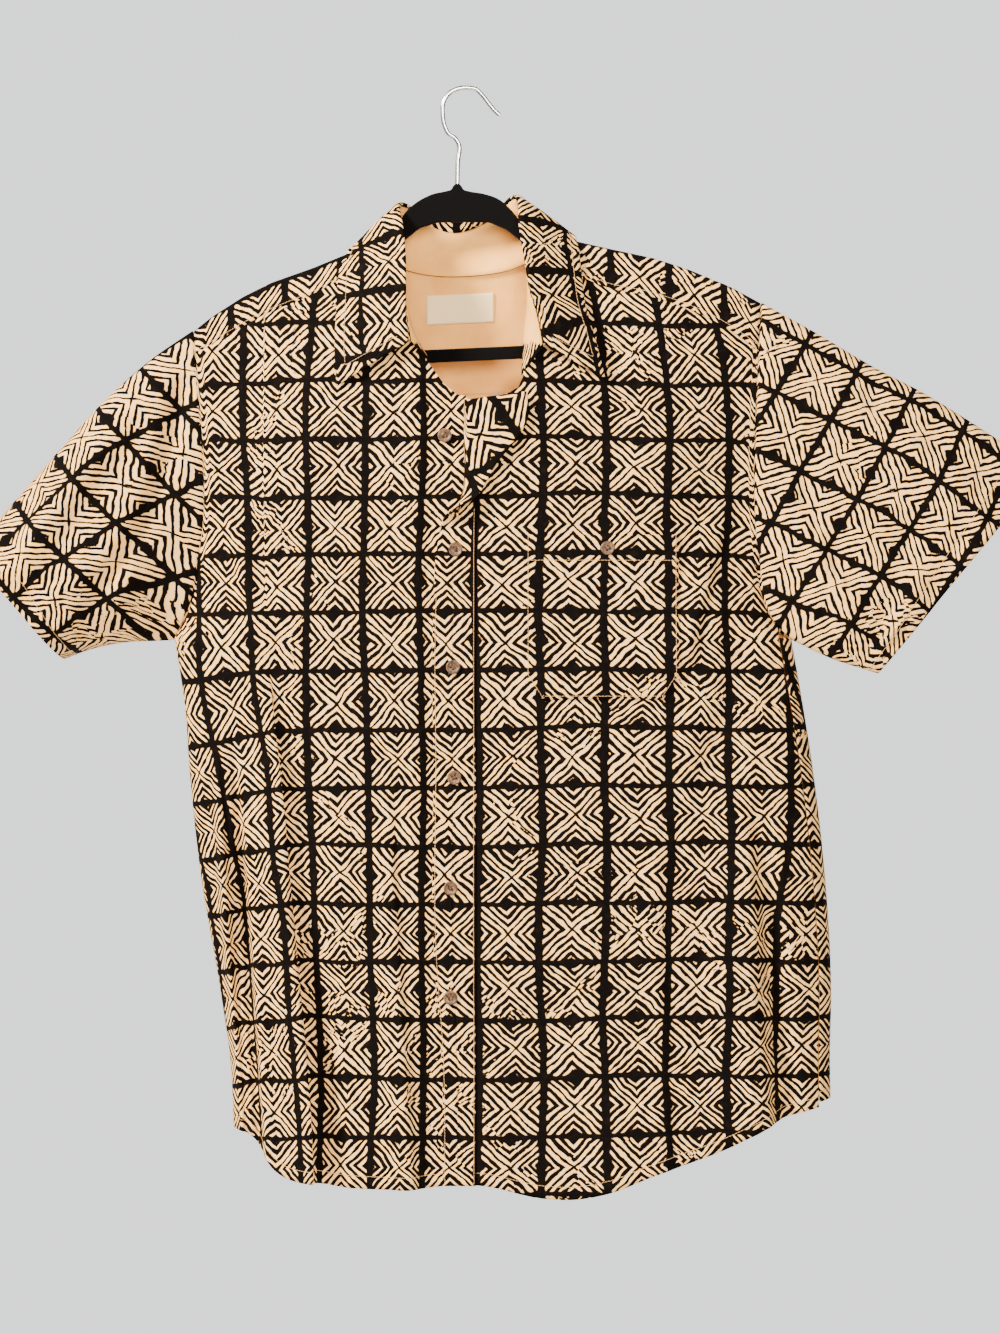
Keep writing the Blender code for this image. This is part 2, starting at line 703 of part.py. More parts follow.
# Placket: a strip on the front's edge, whose top is turned outwards like a lapel
def placket_row(z):
    roll = read(PLACKET, "roll_x", "z", z)
    beyond = read(PLACKET, "beyond", "z", z)
    turn = np.radians(np.clip(read(PLACKET, "turn", "z", z), 0, 180))
    fall = read(PLACKET, "drop", "z", z)
    flat = PLACKET_X - SEAM + (roll - PLACKET_X) * np.linspace(0, 1, 5)
    points = [(x, 0.0, 0.0) for x in flat]
    for a in np.linspace(0, turn, 6)[1:]:
        points.append((roll - ROLL_RADIUS * np.sin(a), -ROLL_RADIUS * (1 - np.cos(a)), 0.0))
    x, y, _ = points[-1]
    for t in np.linspace(0, 1, 7)[1:]:
        points.append((x - beyond * t * np.cos(turn), y - beyond * t * np.sin(turn), t))
    row = []
    for x, y, t in points:
        high = z - fall * t
        surface = -half_depth(np.float64(min(max(x, -30.0), PLACKET_X + 60)), np.float64(high), -1)
        row.append((x, surface + y, high))
    return row


placket_z = np.concatenate([np.linspace(-898, -400, 11), [-378, -366, -356, -350, -345, -339, -334, -328, -322],
                            np.linspace(-314, -258, 7)])
placket_grid = np.array([placket_row(z) for z in placket_z])
add_wall("placket", placket_grid, print_cloth, wall=BAND_WALL, flip=True)

# Pocket: the front's own points, moved out
pocket_rows = []
for z in np.concatenate([[POCKET_BOTTOM, -495, -488], np.linspace(POCKET_CORNER, POCKET_TOP, 8)]):
    cut = POCKET_CUT * np.clip((POCKET_CORNER - z) / (POCKET_CORNER - POCKET_BOTTOM), 0, 1)
    x = np.linspace(POCKET_LEFT + cut, POCKET_RIGHT - cut, 12)
    points = on_body(x, np.full(12, z), -1)
    points[:, 1] -= LAYER
    pocket_rows.append(points)
add_wall("pocket", np.array(pocket_rows), print_cloth)

# Tag inside the yoke
label_rows = []
for v in (-0.5, 0.0, 0.5):
    x = LABEL_CENTRE[0] + np.linspace(-0.5, 0.5, 7) * LABEL_SIZE[0]
    z = LABEL_CENTRE[1] + v * LABEL_SIZE[1] + SHOULDER_TILT * (x - LABEL_CENTRE[0])
    points = on_body(x, z, 1)
    points[:, 1] -= LAYER
    label_rows.append(points)
add_wall("label", np.array(label_rows), tag_cloth, wall=1.0)


def add_button(name, x, y, z):
    """A disc lying on the cloth, its face to the front."""
    bm = bmesh.new()
    bmesh.ops.create_cone(
        bm, cap_ends=True, segments=20, radius1=BUTTON / 2 * MM, radius2=BUTTON / 2 * 0.93 * MM,
        depth=BUTTON_THICK * MM)
    lean = (half_depth(np.float64(x), np.float64(z - 6), -1) - half_depth(np.float64(x), np.float64(z + 6), -1)) / 12
    turn = Matrix.Rotation(np.pi / 2 - np.arctan(lean), 4, "X")
    bm.transform(Matrix.Translation(Vector((x, y, z)) * MM) @ turn)
    mesh = bpy.data.meshes.new(name)
    bm.to_mesh(mesh)
    bm.free()
    add_object(name, mesh, horn)


def button_y(x, z, behind, out):
    slope = abs(half_depth(np.float64(x + 6), np.float64(z), -1) - half_depth(np.float64(x - 6), np.float64(z), -1)) / 2
    return -half_depth(np.float64(x), np.float64(z), -1) + behind - out - slope - BUTTON_THICK / 2 - 0.35


for i, (x, z) in enumerate(zip(BUTTONS["x"], BUTTONS["z"])):
    behind = UNDERLAP_DROP if i == 0 else 0.0
    add_button(f"button_{i + 1}", x, button_y(x, z, behind, (WALL if i == 0 else BAND_WALL) / 2), z)
add_button("pocket_button", *[POCKET_BUTTON[0],
           button_y(POCKET_BUTTON[0], POCKET_BUTTON[1], 0.0, LAYER + WALL / 2), POCKET_BUTTON[1]])


# Hanger: a flat outline with one window, standing in the XZ plane
ARCH = table(
    "x z",
    (-51, -99.5),
    (-40, -90),
    (-27, -85),
    (-15.5, -82.5),
    (-14.5, -77),
    (-9, -76),
    (-3.5, -77),
    (-2.5, -82.5),
    (14, -85),
    (27, -90),
    (34, -97.5),
)
HANGER_ENDS = (-220.0, 224.0)
ARM_GAP = 1.6  # from the shoulder line to the hanger's edge
ROUNDED = 1.4


def bar_z(x):
    return -218.3 + SHOULDER_TILT * x


def hanger_outline():
    left = [(x, float(shoulder_z(x)) - ARM_GAP) for x in np.linspace(HANGER_ENDS[0], -84, 9)]
    right = [(x, float(shoulder_z(x)) - ARM_GAP) for x in np.linspace(76, HANGER_ENDS[1], 9)]
    bridge_left = [(-76, -134), (-67, -130), (-59, -114)]
    bridge_right = [(45, -113), (54, -124), (65, -128.5)]
    arch = list(zip(ARCH["x"], ARCH["z"]))
    top = left + bridge_left + arch + bridge_right + right
    low_right = (HANGER_ENDS[1] - 4, bar_z(HANGER_ENDS[1]) - BAR_HEIGHT / 2)
    low_left = (HANGER_ENDS[0] + 4, bar_z(HANGER_ENDS[0]) - BAR_HEIGHT / 2)
    right_end = (HANGER_ENDS[1] + 2.5, (top[-1][1] + low_right[1]) / 2)
    left_end = (HANGER_ENDS[0] - 2.5, (top[0][1] + low_left[1]) / 2)
    return top + [right_end, low_right, low_left, left_end]


def hanger_window():
    """Under the arch and the arms, above the bar."""
    xs = np.linspace(HANGER_ENDS[0] + 22, HANGER_ENDS[1] - 22, 17)
    band = 17 + 9 * np.clip(1 - np.abs(xs + 5) / 150, 0, 1)
    span = np.interp(xs, (-74, -40, -25, 17, 31, 66), (-126, -89, -84, -84, -91, -121))
    top = np.where((xs < -74) | (xs > 66), shoulder_z(xs) - ARM_GAP, span) - band
    upper = [(x, z) for x, z in zip(xs, top)]
    lower = [(x, bar_z(x) + BAR_HEIGHT / 2) for x in (xs[-1] - 4, xs[0] + 4)]
    return upper + lower


def add_flat(name, outlines, thick, material):
    curve = bpy.data.curves.new(name, "CURVE")
    curve.dimensions = "2D"
    curve.fill_mode = "BOTH"
    curve.extrude = (thick / 2 - ROUNDED) * MM
    curve.bevel_depth = ROUNDED * MM
    curve.bevel_resolution = 1
    curve.offset = -ROUNDED * MM
    for outline in outlines:
        spline = curve.splines.new("POLY")
        spline.points.add(len(outline) - 1)
        for point, (x, z) in zip(spline.points, outline):
            point.co = (x * MM, z * MM, 0, 1)
        spline.use_cyclic_u = True
    obj = add_object(name, curve, material)
    obj.rotation_euler = (np.pi / 2, 0, 0)


add_flat("hanger_body", [hanger_outline(), hanger_window()], HANGER_THICK, velvet)

HOOK = table(
    "x z",
    (-9, -75.6),
    (-8.6, -60),
    (-8, -44),
    (-11, -39.5),
    (-16, -36),
    (-19.5, -29),
    (-21, -20),
    (-20, -9),
    (-15, -2),
    (-7, 1.6),
    (0, 2),
    (6, 1),
    (12, -4.5),
    (17, -11),
    (22, -17),
    (26, -20.5),
)
wire = bpy.data.curves.new("hanger_hook", "CURVE")
wire.dimensions = "3D"
wire.bevel_depth = WIRE / 2 * MM
wire.bevel_resolution = 2
wire.use_fill_caps = True
spline = wire.splines.new("POLY")
hook_at = dict(HOOK, at=np.linspace(0, 1, len(HOOK["x"])))
steps = np.linspace(0, 1, 46)
spline.points.add(len(steps) - 1)
for point, t in zip(spline.points, steps):
    point.co = (read(hook_at, "x", "at", t) * MM, 0, read(hook_at, "z", "at", t) * MM, 1)
add_object("hanger_hook", wire, chrome)
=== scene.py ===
"""A short-sleeved button-down shirt in block-printed cotton, on a black velvet hanger.

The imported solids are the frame. Each cloth piece here is a thin sewn shell on the form of its
solid. Sizes are millimetres until a mesh is made. The front faces -Y and the hook is the origin.
"""

import json
import math

import bmesh
import bpy
import numpy as np
from mathutils import Matrix, Vector

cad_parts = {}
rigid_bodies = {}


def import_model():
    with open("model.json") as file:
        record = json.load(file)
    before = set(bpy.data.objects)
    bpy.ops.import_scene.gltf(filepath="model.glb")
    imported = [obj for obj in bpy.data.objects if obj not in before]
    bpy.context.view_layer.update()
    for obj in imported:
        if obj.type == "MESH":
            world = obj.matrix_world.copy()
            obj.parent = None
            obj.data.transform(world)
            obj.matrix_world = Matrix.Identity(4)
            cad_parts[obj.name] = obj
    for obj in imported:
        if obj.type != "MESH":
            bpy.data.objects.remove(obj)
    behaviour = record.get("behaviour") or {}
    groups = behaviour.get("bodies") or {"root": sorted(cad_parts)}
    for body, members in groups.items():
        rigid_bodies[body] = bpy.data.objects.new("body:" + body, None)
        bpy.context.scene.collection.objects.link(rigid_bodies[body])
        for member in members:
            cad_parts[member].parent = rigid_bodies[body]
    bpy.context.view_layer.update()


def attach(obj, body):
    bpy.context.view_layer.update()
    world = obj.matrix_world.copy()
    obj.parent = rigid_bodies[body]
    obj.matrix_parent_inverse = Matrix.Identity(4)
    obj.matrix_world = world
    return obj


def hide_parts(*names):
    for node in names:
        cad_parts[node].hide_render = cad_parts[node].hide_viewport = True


for start_object in list(bpy.data.objects):
    bpy.data.objects.remove(start_object)
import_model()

# The view: straight at the front from over three metres, as the photograph is framed.
# A warm window light comes from the upper left and a soft one from near the camera, in a
# room with pale grey walls.
MM = 0.001
IMAGE_HEIGHT = 1333  # pixels
MM_PER_PIXEL = 0.82
VIEW_CENTRE = (26.2, -475.6)  # x and z at the middle of the picture
VIEW_DISTANCE = 3.2
CLOTH_FRONT_Y = -0.02
SENSOR = 36.0
FLOOR_MIDDLE = (0.03, -0.05, -1.25)
FLOOR_SIZE = (2.2, 1.9, 1)


def linear(hex_colour):
    """An sRGB hex colour as linear RGBA."""
    channels = [int(hex_colour[i:i + 2], 16) / 255 for i in (1, 3, 5)]
    return (*[c / 12.92 if c <= 0.04045 else ((c + 0.055) / 1.055) ** 2.4 for c in channels], 1.0)


def add_node(tree, kind, inputs=None, out=0, **settings):
    """Adds one node with its settings and links, and gives back one of its outputs."""
    node = tree.nodes.new(kind)
    for name, value in settings.items():
        setattr(node, name, value)
    for key, value in (inputs or {}).items():
        if isinstance(value, bpy.types.NodeSocket):
            tree.links.new(value, node.inputs[key])
        else:
            node.inputs[key].default_value = value
    return node.outputs[out] if len(node.outputs) else node


def add_object(name, data):
    """An object in the scene, at the origin."""
    item = bpy.data.objects.new(name, data)
    bpy.context.scene.collection.objects.link(item)
    return item


camera_data = bpy.data.cameras.new("Camera")
camera_data.sensor_width = SENSOR
frame_height = IMAGE_HEIGHT * MM_PER_PIXEL * MM
camera_data.lens = SENSOR * VIEW_DISTANCE / frame_height
camera = add_object("Camera", camera_data)
camera.location = (VIEW_CENTRE[0] * MM, CLOTH_FRONT_Y - VIEW_DISTANCE, VIEW_CENTRE[1] * MM)
camera.rotation_euler = (math.pi / 2, 0, 0)
bpy.context.scene.camera = camera

world = bpy.data.worlds.new("Pale grey room")
world.use_nodes = True
room = world.node_tree
direction = add_node(room, "ShaderNodeTexCoord", out=0)
facing = add_node(room, "ShaderNodeSeparateXYZ", {0: direction}, out=1)
wall_light = add_node(room, "ShaderNodeMapRange", {0: facing, 1: 0.3, 2: 0.9, 3: 0.45, 4: 2.6})
room.links.new(wall_light, room.nodes["Background"].inputs["Strength"])
room.nodes["Background"].inputs["Color"].default_value = linear("#CBCCCE")
bpy.context.scene.world = world


def add_light(name, place, target, size, power, colour):
    """A round lamp at a place, turned towards its target. Size is metres and power watts."""
    data = bpy.data.lights.new(name, "AREA")
    data.shape = "DISK"
    data.size = size
    data.energy = power
    data.color = linear(colour)[:3]
    light = add_object(name, data)
    light.location = place
    light.rotation_euler = (Vector(target) - Vector(place)).to_track_quat("-Z", "Y").to_euler()


add_light("Window light", (-2.2, -1.8, 1.3), (0.05, 0, -0.45), 0.8, 400, "#FFF1DC")
add_light("Room light", (0.3, -2.7, 0.1), (0, 0, -0.4), 1.3, 125, "#FFF2E0")
add_light("Back light", (0.4, 2.2, 0.8), (0, 0, -0.45), 1.6, 30, "#FFFFFF")

bpy.ops.mesh.primitive_plane_add(size=1, location=FLOOR_MIDDLE)
floor = bpy.context.object
floor.name = "floor"
floor.scale = FLOOR_SIZE
floor_paint = bpy.data.materials.new("Pale painted floor")
floor_paint.use_nodes = True
floor_shader = floor_paint.node_tree.nodes["Principled BSDF"]
floor_shader.inputs["Base Color"].default_value = linear("#D4D5D6")
floor_shader.inputs["Roughness"].default_value = 0.8
floor.data.materials.append(floor_paint)

# The fronts: two panels of block-printed cotton poplin. The printed side is cream with black
# ink, and the wrong side is plain tan. They hang from the yoke and fall in soft folds, the
# deepest at the wearer's right. The cut follows the same tables as the solids.
FRONT, BACK = -1, 1  # the faces, by the way they look along Y
UNDERARM_Z = -452.0
RING_POWER = 2.6  # how square the body's section is; 2 is an ellipse
NOSE = 4.3  # radius of the cloth over the hanger's edge
ARMHOLE_DEPTH = 12.0
ARMHOLE_POWER = 1 / 3
SIDE_SEAM_SHARE = 0.955  # where the left side seam lies, from the middle to the side
SEAM = 0.1  # half the gap between two sewn pieces
COTTON = 0.6  # thickness of one layer as it is modelled
CELL_WIDE, CELL_TALL = 50.0, 47.4  # the print's repeat
PRINT_ZERO_Z = -336.0  # a level line of the print


def table(columns, *rows):
    """A table with named columns, kept as one array for each column."""
    return dict(zip(columns.split(), np.array(rows, float).T))


def read(rows, column, key, at):
    """A column's value where the key column reads `at`, along a smooth curve."""
    order = np.argsort(rows[key])
    xs = rows[key][order]
    ys = rows[column][order]
    slopes = np.gradient(ys, xs)
    at = np.clip(at, xs[0], xs[-1])
    i = np.clip(np.searchsorted(xs, at, side="right") - 1, 0, len(xs) - 2)
    h = xs[i + 1] - xs[i]
    t = (at - xs[i]) / h
    start = (1 + 2 * t) * (1 - t) ** 2 * ys[i] + t * (1 - t) ** 2 * h * slopes[i]
    end = t * t * (3 - 2 * t) * ys[i + 1] + t * t * (t - 1) * h * slopes[i + 1]
    return start + end


def ease(t):
    """A smooth step from 0 to 1."""
    t = np.clip(t, 0.0, 1.0)
    return t * t * (3 - 2 * t)


# Silhouette of the body below the underarms, with the half depths in front and behind
BODY = table(
    "z left right front back",
    (-452, -242, 266, 40, 36),
    (-503, -234, 275, 41, 37),
    (-568, -229, 285, 43, 38),
    (-649, -220, 294, 44, 40),
    (-743, -204, 299, 46, 42),
    (-799, -196, 298, 47, 43),
    (-854, -193, 299, 48, 44),
    (-910, -190, 299, 48, 44),
)
# Half depths of the chest, above the underarms
CHEST = table(
    "z front back",
    (-120, 35, 33),
    (-250, 38, 35),
    (-452, 40, 36),
)
# The armhole seams, seen from the front
ARMHOLE_RIGHT = table(
    "z x",
    (-199, -226),
    (-257, -221),
    (-322, -217),
    (-372, -218),
    (-410, -224),
    (-435, -233),
    (-452, -242),
)
ARMHOLE_LEFT = table(
    "z x",
    (-176, 241),
    (-253, 237),
    (-341, 235),
    (-387, 237),
    (-420, 243),
    (-440, 253),
    (-452, 266),
)
# Top line of the shoulders; it spans the neck as a straight line
SHOULDER = table(
    "x z",
    (-226, -199),
    (-211, -187),
    (-186, -171),
    (-162, -159),
    (-128, -147),
    (-94, -133),
    (-73, -125),
    (64, -119),
    (89, -125),
    (120, -132),
    (153, -139),
    (181, -148),
    (215, -162),
    (241, -176),
)
# Front seams of the yoke
YOKE_SEAM_RIGHT = table(
    "x z",
    (-226, -219),
    (-200, -204),
    (-173, -189),
    (-127, -169),
    (-101, -155),
    (-72, -143),
)
YOKE_SEAM_LEFT = table(
    "x z",
    (63, -140),
    (114, -164),
    (148, -171),
    (207, -194),
    (241, -217),
)
# Necklines of the fronts, from the yoke seam to the front edge
NECK_RIGHT = table(
    "x z",
    (-72, -143),
    (-62, -160),
    (-54, -182),
    (-44, -208),
    (-33, -226),
    (-20, -244),
    (-8, -254),
)
NECK_LEFT = table(
    "x z",
    (6, -258),
    (30, -254),
    (44, -246),
    (48, -215),
    (51, -185),
    (56, -160),
    (63, -140),
)
HEM = table(
    "x z",
    (-194, -854),
    (-176, -861),
    (-160, -884),
    (-121, -897),
    (-60, -901),
    (15, -898),
    (61, -908),
    (87, -909),
    (114, -904),
    (149, -891),
    (207, -870),
    (265, -843),
    (299, -834),
)
# Hanging folds of each face: a soft ridge from a top point to a low point. `rise` is outwards,
# `near` and `far` are its widths towards the left and the right of the picture.
FOLDS = {FRONT: table(
    "top_x top_z low_x low_z rise near far",
    (-161, -560, -127, -880, 8.0, 26, 6),
    (-152, -600, -116, -880, -5.0, 7, 30),
    (-176, -640, -163, -880, 5.0, 10, 12),
    (-196, -610, -182, -880, -4.0, 8, 12),
    (222, -620, 253, -850, -5.0, 9, 20),
    (205, -640, 232, -850, 4.5, 30, 12),
    (-75, -680, -48, -890, 3.0, 26, 20),
    (95, -600, 120, -890, 2.5, 40, 40),
    (-190, -430, -150, -560, 4.0, 24, 18),
    (215, -430, 180, -560, 3.5, 20, 24),
)}
# Soft creases pressed into each face by hanging and handling: from one end to the other,
# how far they rise, and how wide they are
CREASES = {FRONT: table(
    "from_x from_z to_x to_z rise width",
    (-205, -405, -120, -520, 2.4, 16),
    (-212, -440, -150, -640, -2.6, 13),
    (222, -405, 150, -500, 2.2, 17),
    (232, -430, 196, -600, -2.4, 14),
    (-60, -330, -110, -430, 1.2, 16),
    (60, -300, 110, -360, 1.2, 18),
    (-40, -470, -95, -560, 1.3, 20),
    (30, -560, 60, -780, 1.6, 22),
    (-58, -700, -46, -890, 2.2, 12),
    (140, -560, 170, -800, 1.5, 24),
    (-100, -250, -150, -330, 1.3, 18),
    (150, -250, 190, -330, 1.4, 18),
    (-110, -620, -92, -870, -1.8, 16),
    (76, -640, 66, -880, -1.4, 18),
)}
# Folds that the front panels fall in, steep on the side they tuck under
PLEATS = table(
    "top_x top_z low_x low_z rise near far",
    (-196, -470, -168, -890, -11.0, 8, 5),
    (-210, -480, -184, -890, 10.0, 8, 5),
    (-70, -520, -46, -892, 5.5, 20, 6),
    (-200, -330, -168, -470, 5.0, 9, 22),
    (214, -330, 178, -470, 5.0, 24, 9),
    (232, -560, 260, -860, -9.0, 6, 20),
    (222, -560, 247, -860, 8.0, 24, 7),
    (150, -560, 162, -880, 3.0, 30, 8),
    (-104, -420, -98, -880, 2.2, 24, 10),
)


def armhole_x(z):
    """The x of the right and of the left armhole, or of the sides below them."""
    right = np.where(z > UNDERARM_Z, read(ARMHOLE_RIGHT, "x", "z", z), read(BODY, "left", "z", z))
    left = np.where(z > UNDERARM_Z, read(ARMHOLE_LEFT, "x", "z", z), read(BODY, "right", "z", z))
    return right, left


def shoulder_z(x):
    """Height of the shoulders' top line."""
    return np.interp(x, SHOULDER["x"], SHOULDER["z"])


def fold_rise(folds, x, z):
    """How far the hanging folds stand out of the panel at these points."""
    total = np.zeros(np.broadcast(x, z).shape)
    for i in range(len(folds["rise"])):
        fold = {name: column[i] for name, column in folds.items()}
        along = (z - fold["top_z"]) / (fold["low_z"] - fold["top_z"])
        line = fold["top_x"] + (fold["low_x"] - fold["top_x"]) * along
        width = np.where(x < line, fold["near"], fold["far"])
        across = np.clip(np.abs(x - line) / width, 0, 1)
        reach = ease(along / 0.45) * (1 if fold["low_z"] < -800 else ease((1.3 - along) / 0.6))
        total = total + fold["rise"] * (1 - ease(across)) * reach
    return total


def solid_depth(x, z, face):
    """Distance of the solids' front or back from the middle plane."""
    column, near_neck = ("front", 46.0) if face == FRONT else ("back", 24.0)
    lowered = shoulder_z(x) - z
    right_x, left_x = armhole_x(z)
    middle = (right_x + left_x) / 2
    half = (left_x - right_x) / 2
    share = np.clip((x - middle) / half, -1, 1)
    # Over the hanger's edge, then falling away from it, sooner beside the neck
    nose = np.sqrt(np.maximum(NOSE**2 - np.clip(NOSE - lowered, 0, NOSE) ** 2, 0))
    from_neck = np.clip((np.abs(x + 5) - 55) / 110, 0, 1)
    spread = near_neck + (88 - near_neck) * from_neck
    chest = read(CHEST, column, "z", z)
    inner = nose + (chest - NOSE) * (1 - np.exp(-np.maximum(lowered - NOSE, 0) / spread))
    # The armhole is a narrow upright oval
    tall = np.where(x < middle, ARMHOLE_RIGHT["z"][0], ARMHOLE_LEFT["z"][0]) - UNDERARM_Z
    height = 1 - 2 * np.clip(lowered / tall, 0, 1)
    edge = ARMHOLE_DEPTH * (1 - height**2) ** ARMHOLE_POWER
    upper = edge + (inner - edge) * (1 - np.abs(share) ** 3)
    lower = read(BODY, column, "z", z) * (1 - np.abs(share) ** RING_POWER) ** (1 / RING_POWER)
    depth = lower + (upper - lower) * ease((z - UNDERARM_Z) / 70)
    return depth + fold_rise(FOLDS[face], x, z) * ease((1 - np.abs(share)) / 0.06)


def crease_rise(creases, x, z):
    """How far short pressed creases stand out of the cloth at these points."""
    total = np.zeros(np.broadcast(x, z).shape)
    for i in range(len(creases["rise"])):
        c = {name: column[i] for name, column in creases.items()}
        along = np.array([c["to_x"] - c["from_x"], c["to_z"] - c["from_z"]])
        length = np.hypot(*along)
        share = ((x - c["from_x"]) * along[0] + (z - c["from_z"]) * along[1]) / length**2
        across = ((x - c["from_x"]) * along[1] - (z - c["from_z"]) * along[0]) / length
        bow = across + 5 * np.sin(share * 3.0 + i)
        fade = ease(share / 0.3) * ease((1 - share) / 0.4)
        total = total + c["rise"] * np.exp(-((bow / c["width"]) ** 2)) * fade
    return total


def ripple(x, z, seed):
    """The slight unevenness of cotton that has been worn and hung, in millimetres."""
    random = np.random.default_rng(seed)
    total = np.zeros(np.broadcast(x, z).shape)
    for wave in (150, 95, 62, 41, 27, 19):
        for _ in range(3):
            heading = random.uniform(-0.6, 0.6) + (np.pi / 2 if random.random() < 0.25 else 0)
            phase = random.uniform(0, 2 * np.pi)
            way = x * np.cos(heading) + z * np.sin(heading) * 0.55
            total = total + wave * 0.0045 * np.sin(2 * np.pi * way / wave + phase)
    return total


def half_depth(x, z, face):
    """The solid's depth with the finer creases of the real cloth."""
    x, z = np.asarray(x, float), np.asarray(z, float)
    hung = ease((shoulder_z(x) - z - 8) / 60)
    right_x, left_x = armhole_x(z)
    inside = ease(np.minimum(x - right_x, left_x - x) / 14)
    fine = crease_rise(CREASES[face], x, z) + ripple(x, z, 3 + face)
    if face == FRONT:
        fine = (fine + fold_rise(PLEATS, x, z)) * (1 - 0.85 * np.exp(-(((x + 10) / 24) ** 2)))
    return solid_depth(x, z, face) + fine * hung * inside


def on_body(x, z, face):
    """Points on the cloth of one face, at these places in the picture."""
    return np.stack(np.broadcast_arrays(x, face * half_depth(x, z, face), z), axis=-1)


def ring_angle(share):
    """The angle round the section at which a point this far across lies, 0 at the front."""
    return np.sign(share) * np.arcsin(np.abs(share) ** (RING_POWER / 2))


def ring_share(angle):
    """How far across a point at this angle lies, from -1 to 1."""
    return np.sign(np.sin(angle)) * np.abs(np.sin(angle)) ** (2 / RING_POWER)


# Heights of the rows: from the hem up to the underarm, and from there to the top
low_levels = np.linspace(1, 0, 90)
high_levels = np.linspace(0, 1, 90)[1:]
underarm_row = len(low_levels) - 1


def panel(outer_share, inner_x, steps):
    """A front as a grid. Its columns run from the side or armhole to an inner edge at
    inner_x(z). Its rows run from the hem to the yoke and neck."""
    side = np.sign(outer_share)
    outer = ring_angle(outer_share)
    grid = []
    for level in low_levels:
        z = np.full(len(steps), UNDERARM_Z)
        for _ in range(4):
            right_x, left_x = armhole_x(z[0])
            middle, half = (right_x + left_x) / 2, (left_x - right_x) / 2
            inner = ring_angle((inner_x(z[-1]) - middle) / half)
            x = middle + half * ring_share(outer + (inner - outer) * steps)
            z = UNDERARM_Z + (read(HEM, "z", "x", x) - UNDERARM_Z) * level
        grid.append(on_body(x, z, FRONT))
    right_x, left_x = armhole_x(UNDERARM_Z)
    edge = (left_x + right_x) / 2 + (left_x - right_x) / 2 * outer_share
    x = grid[-1][:, 0]
    across = (x - x[0]) / (x[-1] - x[0])
    for level in high_levels:
        z = np.full(len(steps), UNDERARM_Z)
        for _ in range(6):
            right_x, left_x = armhole_x(z[0])
            armhole = left_x if side > 0 else right_x
            out = armhole - side * SEAM
            out = out + (edge - armhole) * (1 - level) ** 6
            x = out + (inner_x(z[-1]) - out) * across
            z = UNDERARM_Z + (front_top(x) - SEAM - UNDERARM_Z) * level
        grid.append(on_body(x, z, FRONT))
    return np.array(grid)


def front_top(x):
    """Height of the fronts' top: the yoke's seams, and the necklines between them."""
    neck_right = np.interp(x, NECK_RIGHT["x"], NECK_RIGHT["z"])
    neck_left = np.interp(x, NECK_LEFT["x"], NECK_LEFT["z"])
    right = np.where(x < NECK_RIGHT["x"][0], read(YOKE_SEAM_RIGHT, "z", "x", x), neck_right)
    left = np.where(x > NECK_LEFT["x"][-1], read(YOKE_SEAM_LEFT, "z", "x", x), neck_left)
    return np.where(x < 0, right, left)


def right_inner_x(z):
    """The right front's free edge, which slips under the placket below the open collar."""
    return np.interp(z, (-350, -328, -282, -270, -254), (-3.0, 4.5, 4.5, 3.0, 1.0))


def flat_lengths(grid, upright=True):
    """Flat distances along each row and up each column. On an upright piece, rows leave out
    their rise and columns their slant to the side."""
    across = np.diff(grid, axis=1)
    upward = np.diff(grid, axis=0)
    if upright:
        across[..., 2] = 0
        upward[..., 0] = 0
    u = np.zeros(grid.shape[:2])
    v = np.zeros(grid.shape[:2])
    u[:, 1:] = np.cumsum(np.linalg.norm(across, axis=2), axis=1)
    v[1:] = np.cumsum(np.linalg.norm(upward, axis=2), axis=0)
    return u, v


# Block-printed cotton: matt, plain-woven, with cream left bare between black ink. Each repeat
# is a square of nested chevrons about a cross, inside a black grid with lozenges on its lines.
# The ink's edges wander as a hand-cut block leaves them, and no two repeats are quite the same.
CREAM, CREAM_SHADE = "#FFD08E", "#F6C078"
INK, INK_WORN = "#040202", "#130A07"
TAN, TAN_SHADE = "#FFC26C", "#EEAC58"
CHEVRON = 7.0  # from one chevron to the next
CHEVRON_THIN, CHEVRON_THICK = 1.5, 2.15  # half widths, at the cross and away from it
GRID_UPRIGHT, GRID_LEVEL = 3.2, 2.2  # half widths of the grid's lines
LOZENGES = ((6.6, 8.6), (6.2, 8.6))  # on its uprights and on its level lines
THREAD_PITCH = 0.00085  # finer in the real cloth, coarse enough here to show


def add_weave_bump(tree, where, strength):
    """Crossing threads of a plain weave, as a bump along the cloth's own flat lengths."""
    parts = add_node(tree, "ShaderNodeSeparateXYZ", {0: where})
    node = parts.node
    turns = 2 * math.pi / THREAD_PITCH
    warp = add_node(tree, "ShaderNodeMath", {0: node.outputs[0], 1: turns}, operation="MULTIPLY")
    weft = add_node(tree, "ShaderNodeMath", {0: node.outputs[1], 1: turns}, operation="MULTIPLY")
    warp = add_node(tree, "ShaderNodeMath", {0: warp}, operation="SINE")
    weft = add_node(tree, "ShaderNodeMath", {0: weft}, operation="SINE")
    woven = add_node(tree, "ShaderNodeMath", {0: warp, 1: weft}, operation="MULTIPLY")
    slub = add_node(tree, "ShaderNodeTexNoise", {"Vector": where, "Scale": 320.0, "Detail": 4.0})
    high = add_node(tree, "ShaderNodeMath", {0: woven, 1: 0.35, 2: slub}, operation="MULTIPLY_ADD")
    return add_node(tree, "ShaderNodeBump", {"Strength": strength, "Distance": 0.0004, "Height": high})


def new_finish(name):
    """A new material, its node tree and its shader."""
    material = bpy.data.materials.new(name)
    material.use_nodes = True
    tree = material.node_tree
    return material, tree, tree.nodes["Principled BSDF"]


